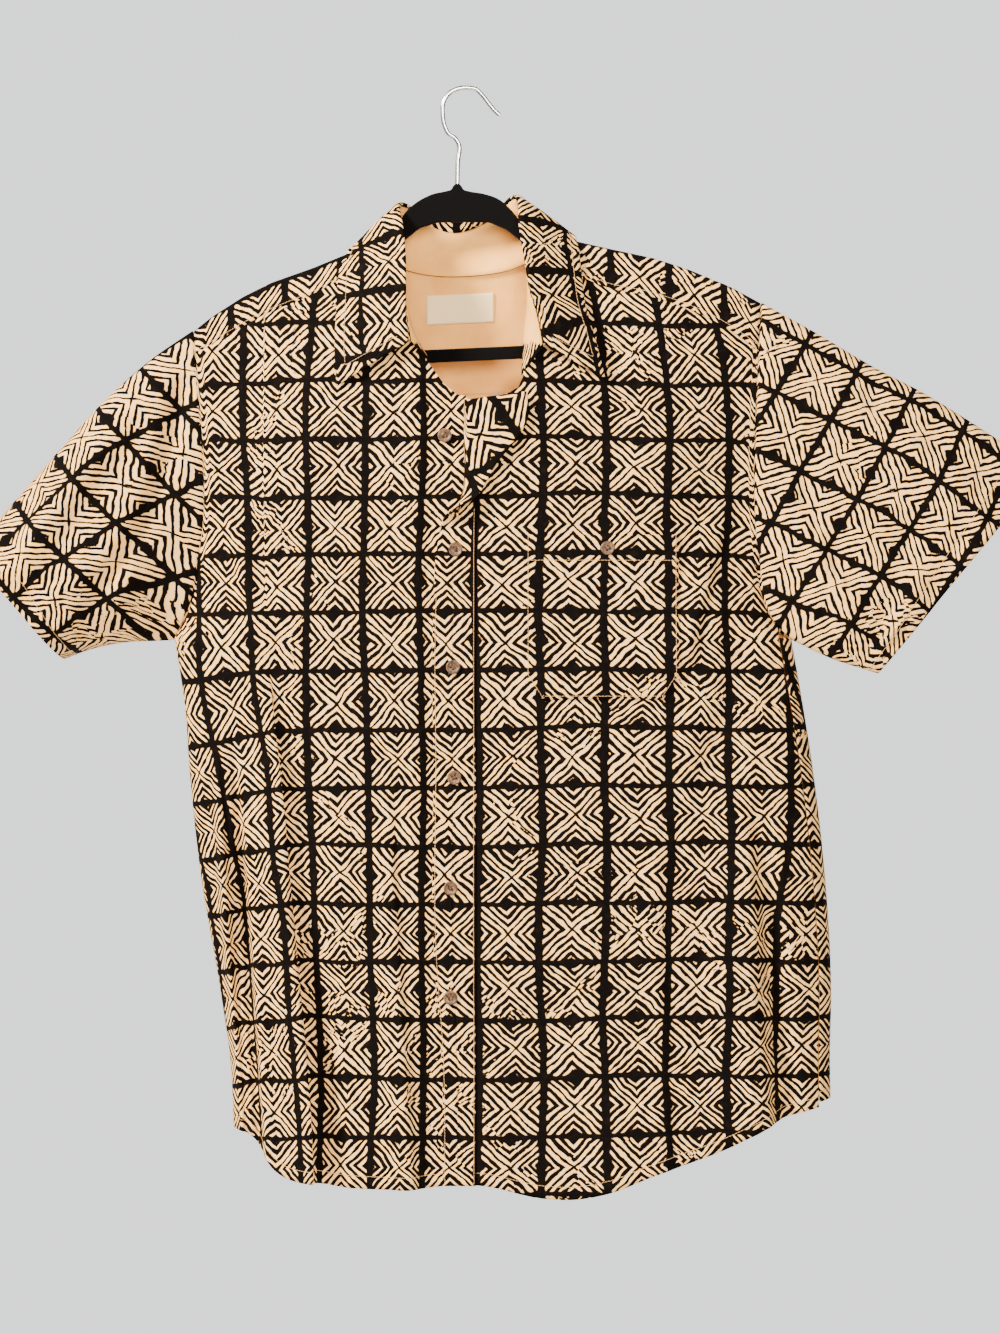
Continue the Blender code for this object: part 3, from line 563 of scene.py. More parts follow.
def add_wander(tree, where, scale, detail, reach):
    """A smooth random shift of up to half this reach each way."""
    noise = add_node(tree, "ShaderNodeTexNoise",
                     {"Vector": where, "Scale": scale, "Detail": detail}, out=1)
    shift = add_node(tree, "ShaderNodeVectorMath", {0: noise, 1: (0.5, 0.5, 0.5)}, operation="SUBTRACT")
    return add_node(tree, "ShaderNodeVectorMath", {0: shift, 3: reach}, operation="SCALE")


def make_printed_cotton(name, thinner):
    """Cotton with a block print, whose lines are thinner by this many mm."""
    material, tree, shader = new_finish(name)
    flat = add_node(tree, "ShaderNodeUVMap", uv_map="Flat")
    sway = add_wander(tree, flat, 5.5, 1.0, 0.016)
    shake = add_wander(tree, flat, 85.0, 2.0, 0.0036)
    moved = add_node(tree, "ShaderNodeVectorMath", {0: flat, 1: sway}, operation="ADD")
    moved = add_node(tree, "ShaderNodeVectorMath", {0: moved, 1: shake}, operation="ADD")
    cells = add_node(tree, "ShaderNodeVectorMath",
                     {0: moved, 1: (CELL_WIDE * MM, CELL_TALL * MM, 1.0)}, operation="DIVIDE")
    whole = add_node(tree, "ShaderNodeVectorMath", {0: cells}, operation="FLOOR")
    chance = add_node(tree, "ShaderNodeTexWhiteNoise", {"Vector": whole}, out=1, noise_dimensions="3D")
    chances = add_node(tree, "ShaderNodeSeparateColor", {0: chance}).node
    part = add_node(tree, "ShaderNodeVectorMath", {0: cells}, operation="FRACTION")
    part = add_node(tree, "ShaderNodeVectorMath", {0: part, 1: (0.5, 0.5, 0.5)}, operation="SUBTRACT")
    part = add_node(tree, "ShaderNodeVectorMath", {0: part, 3: CELL_WIDE}, operation="SCALE")
    sides = add_node(tree, "ShaderNodeVectorMath", {0: part}, operation="ABSOLUTE")
    sides = add_node(tree, "ShaderNodeSeparateXYZ", {0: sides}).node
    across, up = sides.outputs[0], sides.outputs[1]
    half = CELL_WIDE / 2
    # Chevrons lie at equal distances from the cross, which is a little off the middle
    luck = add_node(tree, "ShaderNodeVectorMath", {0: chance, 1: (0.5, 0.5, 0.5)}, operation="SUBTRACT")
    luck = add_node(tree, "ShaderNodeVectorMath", {0: luck, 3: 6.0}, operation="SCALE")
    bend = add_wander(tree, flat, 34.0, 1.0, 5.5)
    cross = add_node(tree, "ShaderNodeVectorMath", {0: part, 1: luck}, operation="ADD")
    cross = add_node(tree, "ShaderNodeVectorMath", {0: cross, 1: bend}, operation="ADD")
    cross = add_node(tree, "ShaderNodeVectorMath", {0: cross}, operation="ABSOLUTE")
    cross = add_node(tree, "ShaderNodeSeparateXYZ", {0: cross}).node
    off_cross = add_node(tree, "ShaderNodeMath", {0: cross.outputs[0], 1: cross.outputs[1]},
                         operation="SUBTRACT")
    off_cross = add_node(tree, "ShaderNodeMath", {0: off_cross}, operation="ABSOLUTE")
    step = add_node(tree, "ShaderNodeMath", {0: chances.outputs[0], 1: 0.6, 2: CHEVRON / 2 - 0.3},
                    operation="MULTIPLY_ADD")
    to_line = add_node(tree, "ShaderNodeMath", {0: off_cross, 1: step}, operation="PINGPONG")
    thin, thick = CHEVRON_THIN - thinner / 2, CHEVRON_THICK - thinner
    line_half = add_node(tree, "ShaderNodeMapRange", {0: off_cross, 1: 1.5, 2: 3.5, 3: thin, 4: thick})
    chevrons = add_node(tree, "ShaderNodeMath", {0: to_line, 1: line_half}, operation="SUBTRACT")
    # The black grid, heavier up and down than across
    to_upright = add_node(tree, "ShaderNodeMath", {0: half, 1: across}, operation="SUBTRACT")
    to_level = add_node(tree, "ShaderNodeMath", {0: half, 1: up}, operation="SUBTRACT")
    upright = add_node(tree, "ShaderNodeMath", {0: to_upright, 1: GRID_UPRIGHT - 2 * thinner},
                       operation="SUBTRACT")
    level = add_node(tree, "ShaderNodeMath", {0: to_level, 1: GRID_LEVEL}, operation="SUBTRACT")
    ink = add_node(tree, "ShaderNodeMath", {0: upright, 1: level, 2: 1.2}, operation="SMOOTH_MIN")
    ink = add_node(tree, "ShaderNodeMath", {0: ink, 1: chevrons, 2: 1.7}, operation="SMOOTH_MIN")
    # Lozenges where the chevrons of neighbouring repeats meet
    for near, along, (wide, tall), luck in (
        (to_upright, up, LOZENGES[0], chances.outputs[1]),
        (to_level, across, LOZENGES[1], chances.outputs[2]),
    ):
        size = add_node(tree, "ShaderNodeMath", {0: luck, 1: 0.7, 2: 0.5}, operation="MULTIPLY_ADD")
        near = add_node(tree, "ShaderNodeMath", {0: near, 1: wide}, operation="DIVIDE")
        along = add_node(tree, "ShaderNodeMath", {0: along, 1: tall}, operation="DIVIDE")
        both = add_node(tree, "ShaderNodeMath", {0: near, 1: along}, operation="ADD")
        both = add_node(tree, "ShaderNodeMath", {0: both, 1: size}, operation="SUBTRACT")
        both = add_node(tree, "ShaderNodeMath", {0: both, 1: 4.0}, operation="MULTIPLY")
        ink = add_node(tree, "ShaderNodeMath", {0: ink, 1: both, 2: 0.9}, operation="SMOOTH_MIN")
    ragged = add_node(tree, "ShaderNodeTexNoise", {"Vector": flat, "Scale": 900.0, "Detail": 3.0})
    ragged = add_node(tree, "ShaderNodeMath", {0: ragged, 1: 0.9, 2: -0.45}, operation="MULTIPLY_ADD")
    swell = add_node(tree, "ShaderNodeTexNoise", {"Vector": flat, "Scale": 120.0, "Detail": 1.0})
    swell = add_node(tree, "ShaderNodeMath", {0: swell, 1: 2.0, 2: -1.0}, operation="MULTIPLY_ADD")
    ragged = add_node(tree, "ShaderNodeMath", {0: ragged, 1: swell}, operation="ADD")
    ink = add_node(tree, "ShaderNodeMath", {0: ink, 1: ragged}, operation="ADD")
    inked = add_node(tree, "ShaderNodeMapRange", {0: ink, 1: 0.22, 2: -0.22, 3: 0.0, 4: 1.0})
    # Colours: cream that has yellowed unevenly, and ink that is thinner along the cross
    tone = add_node(tree, "ShaderNodeTexNoise", {"Vector": flat, "Scale": 30.0, "Detail": 4.0})
    cream = add_node(tree, "ShaderNodeMix", {0: tone, 6: linear(CREAM_SHADE), 7: linear(CREAM)},
                     out=2, data_type="RGBA")
    worn = add_node(tree, "ShaderNodeTexNoise", {"Vector": flat, "Scale": 160.0, "Detail": 5.0})
    worn = add_node(tree, "ShaderNodeMapRange", {0: worn, 1: 0.52, 2: 0.8, 3: 0.0, 4: 1.0})
    dye = add_node(tree, "ShaderNodeMix", {0: worn, 6: linear(INK), 7: linear(INK_WORN)},
                   out=2, data_type="RGBA")
    colour = add_node(tree, "ShaderNodeMix", {0: inked, 6: cream, 7: dye}, out=2, data_type="RGBA")
    tree.links.new(colour, shader.inputs["Base Color"])
    shader.inputs["Roughness"].default_value = 0.86
    shader.inputs["Specular IOR Level"].default_value = 0.07
    tree.links.new(add_weave_bump(tree, flat, 0.35), shader.inputs["Normal"])
    return material


def make_wrong_side():
    """The unprinted face of the same cotton: warm tan, matt, a little mottled."""
    material, tree, shader = new_finish("Unprinted side of the cotton")
    flat = add_node(tree, "ShaderNodeUVMap", uv_map="Flat")
    tone = add_node(tree, "ShaderNodeTexNoise", {"Vector": flat, "Scale": 45.0, "Detail": 6.0})
    tone = add_node(tree, "ShaderNodeMapRange", {0: tone, 1: 0.3, 2: 0.7, 3: 0.0, 4: 1.0})
    colour = add_node(tree, "ShaderNodeMix", {0: tone, 6: linear(TAN_SHADE), 7: linear(TAN)},
                      out=2, data_type="RGBA")
    tree.links.new(colour, shader.inputs["Base Color"])
    shader.inputs["Roughness"].default_value = 0.9
    shader.inputs["Specular IOR Level"].default_value = 0.2
    tree.links.new(add_weave_bump(tree, flat, 0.4), shader.inputs["Normal"])
    return material


printed_cotton = make_printed_cotton("Block-printed cotton poplin", 0.0)
wrong_side = make_wrong_side()


def sew(name, grid, u, v, node, thickness=COTTON, flip=False, closed=False, rests_on="hanger_body",
        held="hung", faces=None, slot="printed_cotton", keep=None, cut=None):
    """A sewn piece: a thin wall on a grid of points, with flat lengths u and v as its UV map.
    Its printed face is outwards. A closed grid is a tube, and u has one more column. Where the
    print doesn't follow the piece's own lengths, those are given as cut."""
    rows, columns = grid.shape[:2]
    last = columns if closed else columns - 1
    quads = []
    corners = []
    for i in range(rows - 1):
        for j in range(last):
            if keep is not None and not keep[i, j]:
                continue
            quad = [(i, j), (i, j + 1), (i + 1, j + 1), (i + 1, j)]
            if flip:
                quad.reverse()
            quads.append([a * columns + b % columns for a, b in quad])
            corners.extend(quad)
    mesh = bpy.data.meshes.new(name)
    mesh.from_pydata((grid.reshape(-1, 3) * MM).tolist(), [], quads)
    corners = np.array(corners)
    flat = np.stack([u[corners[:, 0], corners[:, 1]], v[corners[:, 0], corners[:, 1]]], axis=1) * MM
    layer = mesh.uv_layers.new(name="Flat")
    layer.data.foreach_set("uv", flat.astype(np.float32).ravel())
    for material in faces or (printed_cotton, wrong_side):
        mesh.materials.append(material)
    mesh.shade_smooth()
    piece = add_object(name, mesh)
    wall = piece.modifiers.new("Cloth thickness", "SOLIDIFY")
    wall.thickness = thickness * MM
    wall.offset = 0
    wall.material_offset = 1
    if cut is not None:
        flat = np.stack([lengths[corners[:, 0], corners[:, 1]] for lengths in cut], axis=1) * MM
    quads_flat = flat.reshape(-1, 4, 2)
    one = quads_flat[:, 2] - quads_flat[:, 0]
    other = quads_flat[:, 3] - quads_flat[:, 1]
    area = np.abs(one[:, 0] * other[:, 1] - one[:, 1] * other[:, 0]).sum() / 2
    size = [float(np.ptp(flat[:, k])) for k in (0, 1)]
    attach(piece, "root")
    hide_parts(node)
    area = float(min(area, size[0] * size[1]))
    return piece


HEM_OUT = (1.25, 1.25, 0.7)  # how far behind the cloth each row of its turned hem lies
HEM_FOLD = 0.8  # the cloth taken up by the fold itself


def turn_up_hem(grid, u, v, inward):
    """Adds a narrow hem: the cloth goes on round its edge and a little way up behind itself."""
    hem = grid[2::-1].copy()
    hem[..., 1] += inward * np.array(HEM_OUT)[:, None]
    hem_v = 2 * v[:1] - v[2::-1] - HEM_FOLD
    return np.concatenate([hem, grid]), np.concatenate([u[2::-1], u]), np.concatenate([hem_v, v])


# The wearer's right front. Its deepest fold starts above the waist and tucks under itself, so
# the columns are laid along the fold's ridge, and the print on the far side of it is rotated.
RIDGE = table(
    "z x",
    (-890, -126),
    (-800, -131),
    (-700, -140),
    (-600, -150),
    (-500, -160),
    (-420, -166),
    (-300, -168),
    (-140, -168),
)
RIDGE_COLUMN = 44
RIGHT_CELL = 47.0  # how wide the print's repeat is on this side


def steps_to_ridge(steps, grid):
    """Spaces each row's columns so that one of them lies on the ridge of the fold."""
    out = []
    for row in grid:
        ridge = read(RIDGE, "x", "z", row[40, 2])
        at = np.interp(ridge, row[:, 0], steps)
        out.append(np.interp(np.arange(len(steps)), (0, RIDGE_COLUMN, len(steps) - 1), (0, at, 1)))
    return np.array(out)


def slide_columns(grid, steps, wanted):
    """The same rows with their columns moved along them."""
    rows = []
    for row, to in zip(grid, wanted):
        x, z = np.interp(to, steps, row[:, 0]), np.interp(to, steps, row[:, 2])
        rows.append(on_body(x, z, FRONT))
    return np.array(rows)


steps = np.linspace(0, 1, 130)
close_steps = np.linspace(0, 1, 400)
close = panel(-1.0, right_inner_x, close_steps)
nearest = np.linspace(0, len(close_steps) - 1, len(steps)).round().astype(int)
grid = slide_columns(close, close_steps, steps_to_ridge(steps, close[:, nearest]))
# It lies back under the placket
grid[..., 1] += 3.4 * ease((grid[..., 0] + 42) / 12)
ridge_x = grid[:, RIDGE_COLUMN:RIDGE_COLUMN + 1, 0].copy()
ridge_z = grid[:, RIDGE_COLUMN:RIDGE_COLUMN + 1, 2]
from_ridge = grid[..., 0] - ridge_x
opened = ease((-470 - ridge_z) / 130) * (0.85 + 0.25 * np.sin(ridge_z / 47.0))
over = from_ridge <= 0
outer_side = ease((grid[..., 0] - grid[:, :1, 0]) / 12)
rise = np.where(over, 15.0 * np.exp(from_ridge / 22), -6.0 * np.exp(-from_ridge / 24))
lean = np.where(over, 3.2 * np.exp(from_ridge / 10), -3.0 * np.exp(-from_ridge / 6))
grid[..., 1] -= rise * opened * outer_side
grid[..., 0] += lean * opened * outer_side
u, v = flat_lengths(grid)
u = (grid[:, -1:, 0] + 38 - (u[:, -1:] - u)) * CELL_WIDE / RIGHT_CELL
left_of = np.arange(len(steps)) <= RIDGE_COLUMN
slid = u[:, RIDGE_COLUMN:RIDGE_COLUMN + 1] - u[underarm_row, RIDGE_COLUMN]
u = np.where(left_of, u - slid, u)
v = v - v[underarm_row] + UNDERARM_Z - PRINT_ZERO_Z
v = v - np.where(left_of, from_ridge * 0.2 * ease((-400 - ridge_z) / 160), 0)
right_front = grid
sew("front_right_cloth", *turn_up_hem(grid, u, v, BACK), "front_right")

# The wearer's left front, whose inner edge lies under the placket as its seam allowance
LEFT_INNER_X = 3.0
LEFT_CELL = 52.0  # how wide the print's repeat is on this side
steps = np.linspace(0, 1, 110)
grid = panel(SIDE_SEAM_SHARE, lambda z: LEFT_INNER_X, steps)[:, ::-1]
grid[..., 1] += 1.5 * ease((9.0 - grid[..., 0]) / 2.6)
u, v = flat_lengths(grid)
u = (u + grid[:, :1, 0] - 8) * CELL_WIDE / LEFT_CELL
v = v - v[underarm_row] + UNDERARM_Z - PRINT_ZERO_Z
left_front = grid
sew("front_left_cloth", *turn_up_hem(grid, u, v, BACK), "front_left")

# The back: one panel of the same cotton below the yoke, brought round the wearer's left side
# so that its seam shows at the front. It hangs in three broad folds.
BACK_YOKE_Z = -250.0
SHOULDER_TILT = 0.045  # the wearer's left side hangs a little higher
HEM_LIFT = 4  # how much higher the back's hem is than the fronts'
FOLDS[BACK] = table(
    "top_x top_z low_x low_z rise near far",
    (-120, -420, -130, -880, 6.0, 30, 22),
    (40, -380, 60, -880, 5.0, 36, 30),
    (190, -420, 205, -850, 6.0, 26, 24),
)
CREASES[BACK] = table(
    "from_x from_z to_x to_z rise width",
    (-190, -400, -90, -520, 2.5, 20),
    (205, -400, 110, -540, 2.5, 20),
    (-30, -280, -50, -700, 1.8, 28),
    (90, -300, 130, -700, 1.6, 26),
    (-160, -520, -175, -860, 2.4, 18),
    (250, -520, 240, -820, 2.0, 16),
)
across = np.linspace(-np.pi / 2, np.pi / 2, 120)
wrap = np.linspace(np.pi / 2, ring_angle(SIDE_SEAM_SHARE) + 0.012, 12)[1:]
back_share = np.concatenate([ring_share(across), ring_share(wrap)])
behind = np.concatenate([np.ones(len(across)), -np.ones(len(wrap))])


def back_seam_z(x):
    """Height of the seam between the back and the yoke."""
    return BACK_YOKE_Z + SHOULDER_TILT * x


rows = []
for level in low_levels:
    z = np.full(len(back_share), UNDERARM_Z)
    for _ in range(4):
        right_x, left_x = armhole_x(z)
        x = (right_x + left_x) / 2 + (left_x - right_x) / 2 * back_share
        z = UNDERARM_Z + (read(HEM, "z", "x", x) + HEM_LIFT - UNDERARM_Z) * level
    rows.append(np.where(behind[:, None] > 0, on_body(x, z, BACK), on_body(x, z, FRONT)))
base = rows[-1]
flat_across = (base[:, 0] - base[0, 0]) / (base[len(across) - 1, 0] - base[0, 0]) * 2 - 1
for level in high_levels[1:]:
    z = np.full(len(back_share), UNDERARM_Z)
    for _ in range(6):
        right_x, left_x = armhole_x(z)
        x = (right_x + left_x) / 2 + ((left_x - right_x) / 2 - SEAM) * flat_across
        z = UNDERARM_Z + (back_seam_z(x) - SEAM - UNDERARM_Z) * level
    rows.append(on_body(x, z, BACK))
grid = np.array(rows)
u, v = flat_lengths(grid)
u = u - u[:, 60:61] + grid[:, 60:61, 0]
v = v - v[underarm_row] + UNDERARM_Z - PRINT_ZERO_Z
back = grid
grid, u, v = turn_up_hem(grid, u, v, -behind)
# Above the underarm there is no cloth in front
keep = np.ones((len(grid) - 1, len(back_share) - 1), bool)
keep[underarm_row + 3:, len(across) - 1:] = False
sew("back_cloth", grid, u, v, "back", flip=True, keep=keep)

# The yoke: one piece of the cotton, cut across so that its print runs along the shoulders. It
# lies over the hanger, from a seam a little in front of the shoulder line to one across the
# shoulder blades.
NOSE_STEPS = NOSE * np.linspace(-1, 1, 11)
DOWN_BACK = np.linspace(0, 1, 34)[1:] ** 1.15
# The neckline and its collar, from the collar's left end round the back of the neck to its
# right end. side is -1 where the seam lies on the front, 1 on the back, 0 on the shoulder.
COLLAR = table(
    "seam_x seam_z side fold_x fold_y fold_z edge_x edge_z",
    (45, -236, -1, 62, -40, -214, 112, -240),
    (46, -213, -1, 57, -40, -189, 104, -208),
    (48, -186, -1, 50, -37, -165, 96, -180),
    (53, -160, -1, 46, -30, -139, 93, -155),
    (61, -138, -1, 43, -17, -113, 91, -136),
    (63, -119, 0, 41, -2, -92, 87, -120),
    (60, -131, 1, 36, 17, -88, 80, -140),
    (33, -145, 1, 22, 30, -98, 46, -158),
    (-9, -150, 1, -9, 34, -107, -9, -168),
    (-44, -147, 1, -36, 30, -103, -56, -160),
    (-69, -136, 1, -52, 17, -94, -90, -148),
    (-72, -125, 0, -57, -2, -98, -95, -130),
    (-70, -142, -1, -55, -17, -114, -104, -146),
    (-60, -160, -1, -52, -30, -140, -107, -163),
    (-52, -182, -1, -51, -37, -168, -108, -190),
    (-42, -207, -1, -50, -40, -190, -109, -218),
    (-32, -225, -1, -47, -41, -210, -107, -246),
)
collar_at = np.linspace(0, 1, len(COLLAR["side"]))
NECKLINE = dict(COLLAR, at=collar_at)


def body_x(share, z):
    """The x this share of the way from the middle to the armhole at height z."""
    right_x, left_x = armhole_x(z)
    return (right_x + left_x) / 2 + (left_x - right_x) / 2 * share


def over_shoulder(x, path):
    """Points on the cloth at these distances in front of (below 0) or behind the shoulder line."""
    z = shoulder_z(x) - np.abs(path)
    y = np.where(path < 0, -half_depth(x, z, FRONT), half_depth(x, z, BACK))
    return np.stack([x, y, z], axis=-1), path


def shoulder_rib(tip_x, seam):
    """From the front seam over the shoulder; the outermost rib follows the armhole."""
    tip_z = float(shoulder_z(tip_x))
    right_x, left_x = armhole_x(tip_z)
    share = (tip_x - (right_x + left_x) / 2) / ((left_x - right_x) / 2)
    seam_x = tip_x
    for _ in range(3):
        seam_z = read(seam, "z", "x", seam_x) + SEAM
        seam_x = body_x(share, seam_z)
    front = float(shoulder_z(seam_x) - seam_z)
    end = float(shoulder_z(tip_x) - back_seam_z(tip_x)) - SEAM
    up_front = np.linspace(-front, -NOSE, 9)[:-1]
    path = np.concatenate([up_front, NOSE_STEPS, NOSE + (end - NOSE) * DOWN_BACK])
    x = np.full(len(path), tip_x)
    for _ in range(3):
        x = body_x(share, np.minimum(shoulder_z(x) - np.abs(path), tip_z))
    return over_shoulder(x, path)


def neck_rib(start_x, start_z, over_x, end_x, side):
    """From the neckline. On the front side it starts there and goes over the shoulder."""
    start = max(float(shoulder_z(start_x)) - start_z, 0.0)
    end = float(shoulder_z(end_x) - back_seam_z(end_x)) - SEAM
    if side == FRONT:
        path = np.concatenate([np.linspace(-start + SEAM, -NOSE, 9)[:-1], NOSE_STEPS])
    else:
        path = start + SEAM + 0.25 * np.arange(19)
    path = np.concatenate([path, path[-1] + (end - path[-1]) * DOWN_BACK])
    if side == FRONT:
        x = np.interp(path, (path[0], 0, end), (start_x, over_x, end_x))
    else:
        x = np.interp(path, (path[0], end), (start_x, end_x))
    return over_shoulder(x, path)


ribs = [shoulder_rib(x, YOKE_SEAM_RIGHT) for x in np.linspace(-226 + SEAM, -77, 34)]
ribs.append(neck_rib(-72, -143, -76.5, -76, FRONT))
for t in np.linspace(collar_at[11], collar_at[5], 34):
    x, z = (float(read(NECKLINE, column, "at", t)) for column in ("seam_x", "seam_z"))
    ribs.append(neck_rib(x, z, x, x * 0.98, BACK))
ribs.append(neck_rib(63, -140, 67.5, 67, FRONT))
ribs += [shoulder_rib(x, YOKE_SEAM_LEFT) for x in np.linspace(69, 241 - SEAM, 36)]
grid = np.array([rib for rib, _ in ribs])
v = -np.array([path for _, path in ribs])
steps_out = np.hypot(np.diff(grid[:, 12, 0]), np.diff(grid[:, 12, 2]))
u = np.repeat(np.concatenate([[0], np.cumsum(steps_out)])[:, None], grid.shape[1], axis=1) + 14
yoke = grid
sew("yoke_cloth", grid, u, v, "yoke", flip=True, held="draped")

# The sleeves: each is one piece of the cotton set into its armhole, closed by a seam under the
# arm and turned up twice at the hem. The wearer's right one has kept the round of an arm, and
# the other is flat. They are listed by points of the top edge and underside, and half depth.
SLEEVE_RIGHT = table(
    "top_x top_z low_x low_z depth",
    (-226, -199, -242, -452, 12),
    (-262, -224, -258, -453, 22),
    (-300, -258, -276, -454, 38),
    (-340, -302, -296, -457, 50),
    (-376, -343, -315, -462, 58),
    (-407, -379, -333, -469, 60),
)
SLEEVE_LEFT = table(
    "top_x top_z low_x low_z depth",
    (241, -176, 266, -452, 12),
    (288, -202, 276, -457, 15),
    (332, -228, 290, -464, 18),
    (378, -252, 304, -470, 20),
    (428, -283, 322, -476, 20),
    (474, -314, 338, -481, 19),
)
# Soft creases of the sleeves: along the sleeve from `start` to `end` (0 armhole, 1 cuff),
# at an angle round it in degrees from the top edge towards the front
SLEEVE_CREASES = table(
    "start end from_angle to_angle rise width",
    (0.10, 1.0, 40, 75, 5.0, 16),
    (0.15, 1.0, 62, 100, -4.0, 14),
    (0.10, 0.9, 118, 128, 4.0, 16),
    (0.15, 1.0, 300, 270, 4.0, 18),
)
# Creases on the front of each sleeve: the line that each follows, how far it stands out (or
# lies in, below zero), and its width. Sleeves go by the way they point along X.
SLEEVE_FOLDS = {
    -1: (
        (((-234, -246), (-242, -289), (-261, -349), (-302, -421), (-316, -440)), -5.5, 8),
        (((-252, -250), (-266, -330), (-282, -372), (-314, -402)), 3.5, 10),
        (((-300, -275), (-330, -350), (-360, -400)), 2.2, 14),
        (((-345, -320), (-370, -372), (-372, -410)), -2.4, 9),
    ),
    1: (
        (((262, -300), (300, -340), (352, -372), (400, -376)), -3.5, 9),
        (((250, -235), (288, -262), (350, -290), (420, -330)), 3.0, 14),
        (((262, -330), (290, -390), (318, -440)), 3.5, 9),
        (((276, -340), (308, -392), (345, -430)), -3.0, 8),
        (((330, -250), (352, -300), (400, -345)), -2.2, 12),
    ),
}
# Where a corner of the print's repeat lies on the front of each sleeve, in x and z
SLEEVE_PRINT = {-1: (-280, -292), 1: (340, -298)}
RING_POINTS = 120
ARMHOLE_GAP = 1.5
SLEEVE_ROUND = 0.85  # 1 would make each ring an ellipse
HEM_SHARE = 0.12  # of the sleeve's length
HEM_IN = 1.3  # how far inside the sleeve its hem lies
ALLOWANCE = (6.0, 1.5)  # how far inside the body each row of the seam's allowance lies


def distance_to_line(x, z, points):
    """Distance from the nearest place on a bent line."""
    nearest = np.full(np.shape(x), 1e9)
    for (ax, az), (bx, bz) in zip(points, points[1:]):
        wide, tall = bx - ax, bz - az
        share = np.clip(((x - ax) * wide + (z - az) * tall) / (wide**2 + tall**2), 0, 1)
        nearest = np.minimum(nearest, np.hypot(x - ax - share * wide, z - az - share * tall))
    return nearest


def sleeve_rings(rows, hole, sign, levels, shrink=0.0):
    """Rings round the sleeve at these shares of its length, from the armhole to the cuff."""
    angle = np.linspace(0, 2 * np.pi, RING_POINTS, endpoint=False)
    stations = dict(rows, at=np.linspace(0, 1, len(rows["depth"])))
    tip_z, tall = hole["z"][0], hole["z"][0] - UNDERARM_Z
    z = tip_z - tall / 2 + tall / 2 * np.cos(angle)
    depth = ARMHOLE_DEPTH * np.abs(np.sin(angle)) ** (2 * ARMHOLE_POWER)
    armhole = np.stack([read(hole, "x", "z", z), -np.sign(np.sin(angle)) * depth, z], axis=-1)

    def oval(t):
        top = np.array([read(stations, "top_x", "at", t), 0, read(stations, "top_z", "at", t)])
        low = np.array([read(stations, "low_x", "at", t), 0, read(stations, "low_z", "at", t)])
        wide = np.sign(np.cos(angle)) * np.abs(np.cos(angle)) ** SLEEVE_ROUND
        deep = np.sign(np.sin(angle)) * np.abs(np.sin(angle)) ** SLEEVE_ROUND
        tight = 1 - shrink / np.linalg.norm(top - low) * 2
        ring = (top + low) / 2 + (top - low) / 2 * wide[:, None] * tight
        ring[:, 1] = -(read(stations, "depth", "at", t) - shrink) * deep
        return ring

    first = oval(0.0)
    degrees = np.degrees(angle)
    rings = []
    for t in levels:
        ring = oval(t) + (armhole - first) * (1 - t) ** 3
        for i in range(len(SLEEVE_CREASES["rise"])):
            crease = {key: column[i] for key, column in SLEEVE_CREASES.items()}
            along = (t - crease["start"]) / (crease["end"] - crease["start"])
            line = crease["from_angle"] + (crease["to_angle"] - crease["from_angle"]) * along
            off = np.abs(degrees - line) / crease["width"]
            rise = crease["rise"] * (1 - ease(off)) * ease(along / 0.4) * (along < 1.001)
            ring[:, 1] -= np.sign(np.sin(angle)) * rise
        # Towards the underarm the seam bows out and the cloth sags
        bend = np.exp(-(((armhole[:, 2] + 394) / 24) ** 2))
        ring[:, 0] += sign * (ARMHOLE_GAP + 2.1 * bend) * (1 - t)
        ring[:, 2] -= 1.6 * np.maximum(-np.cos(angle), 0) * (1 - t)
        waves = ripple(ring[:, 0] + 400 * t, ring[:, 2] * 1.3 + 90 * np.sin(angle), 7 + int(sign))
        ring[:, 1] -= np.sin(angle) * waves * 0.9 * ease(t / 0.25)
        for place, depth, width in SLEEVE_FOLDS[sign]:
            off = distance_to_line(ring[:, 0], ring[:, 2], place)
            ring[:, 1] += np.sign(ring[:, 1]) * depth * np.exp(-((off / width) ** 2)) * (ring[:, 1] < 0)
        rings.append(ring)
    return np.array(rings)


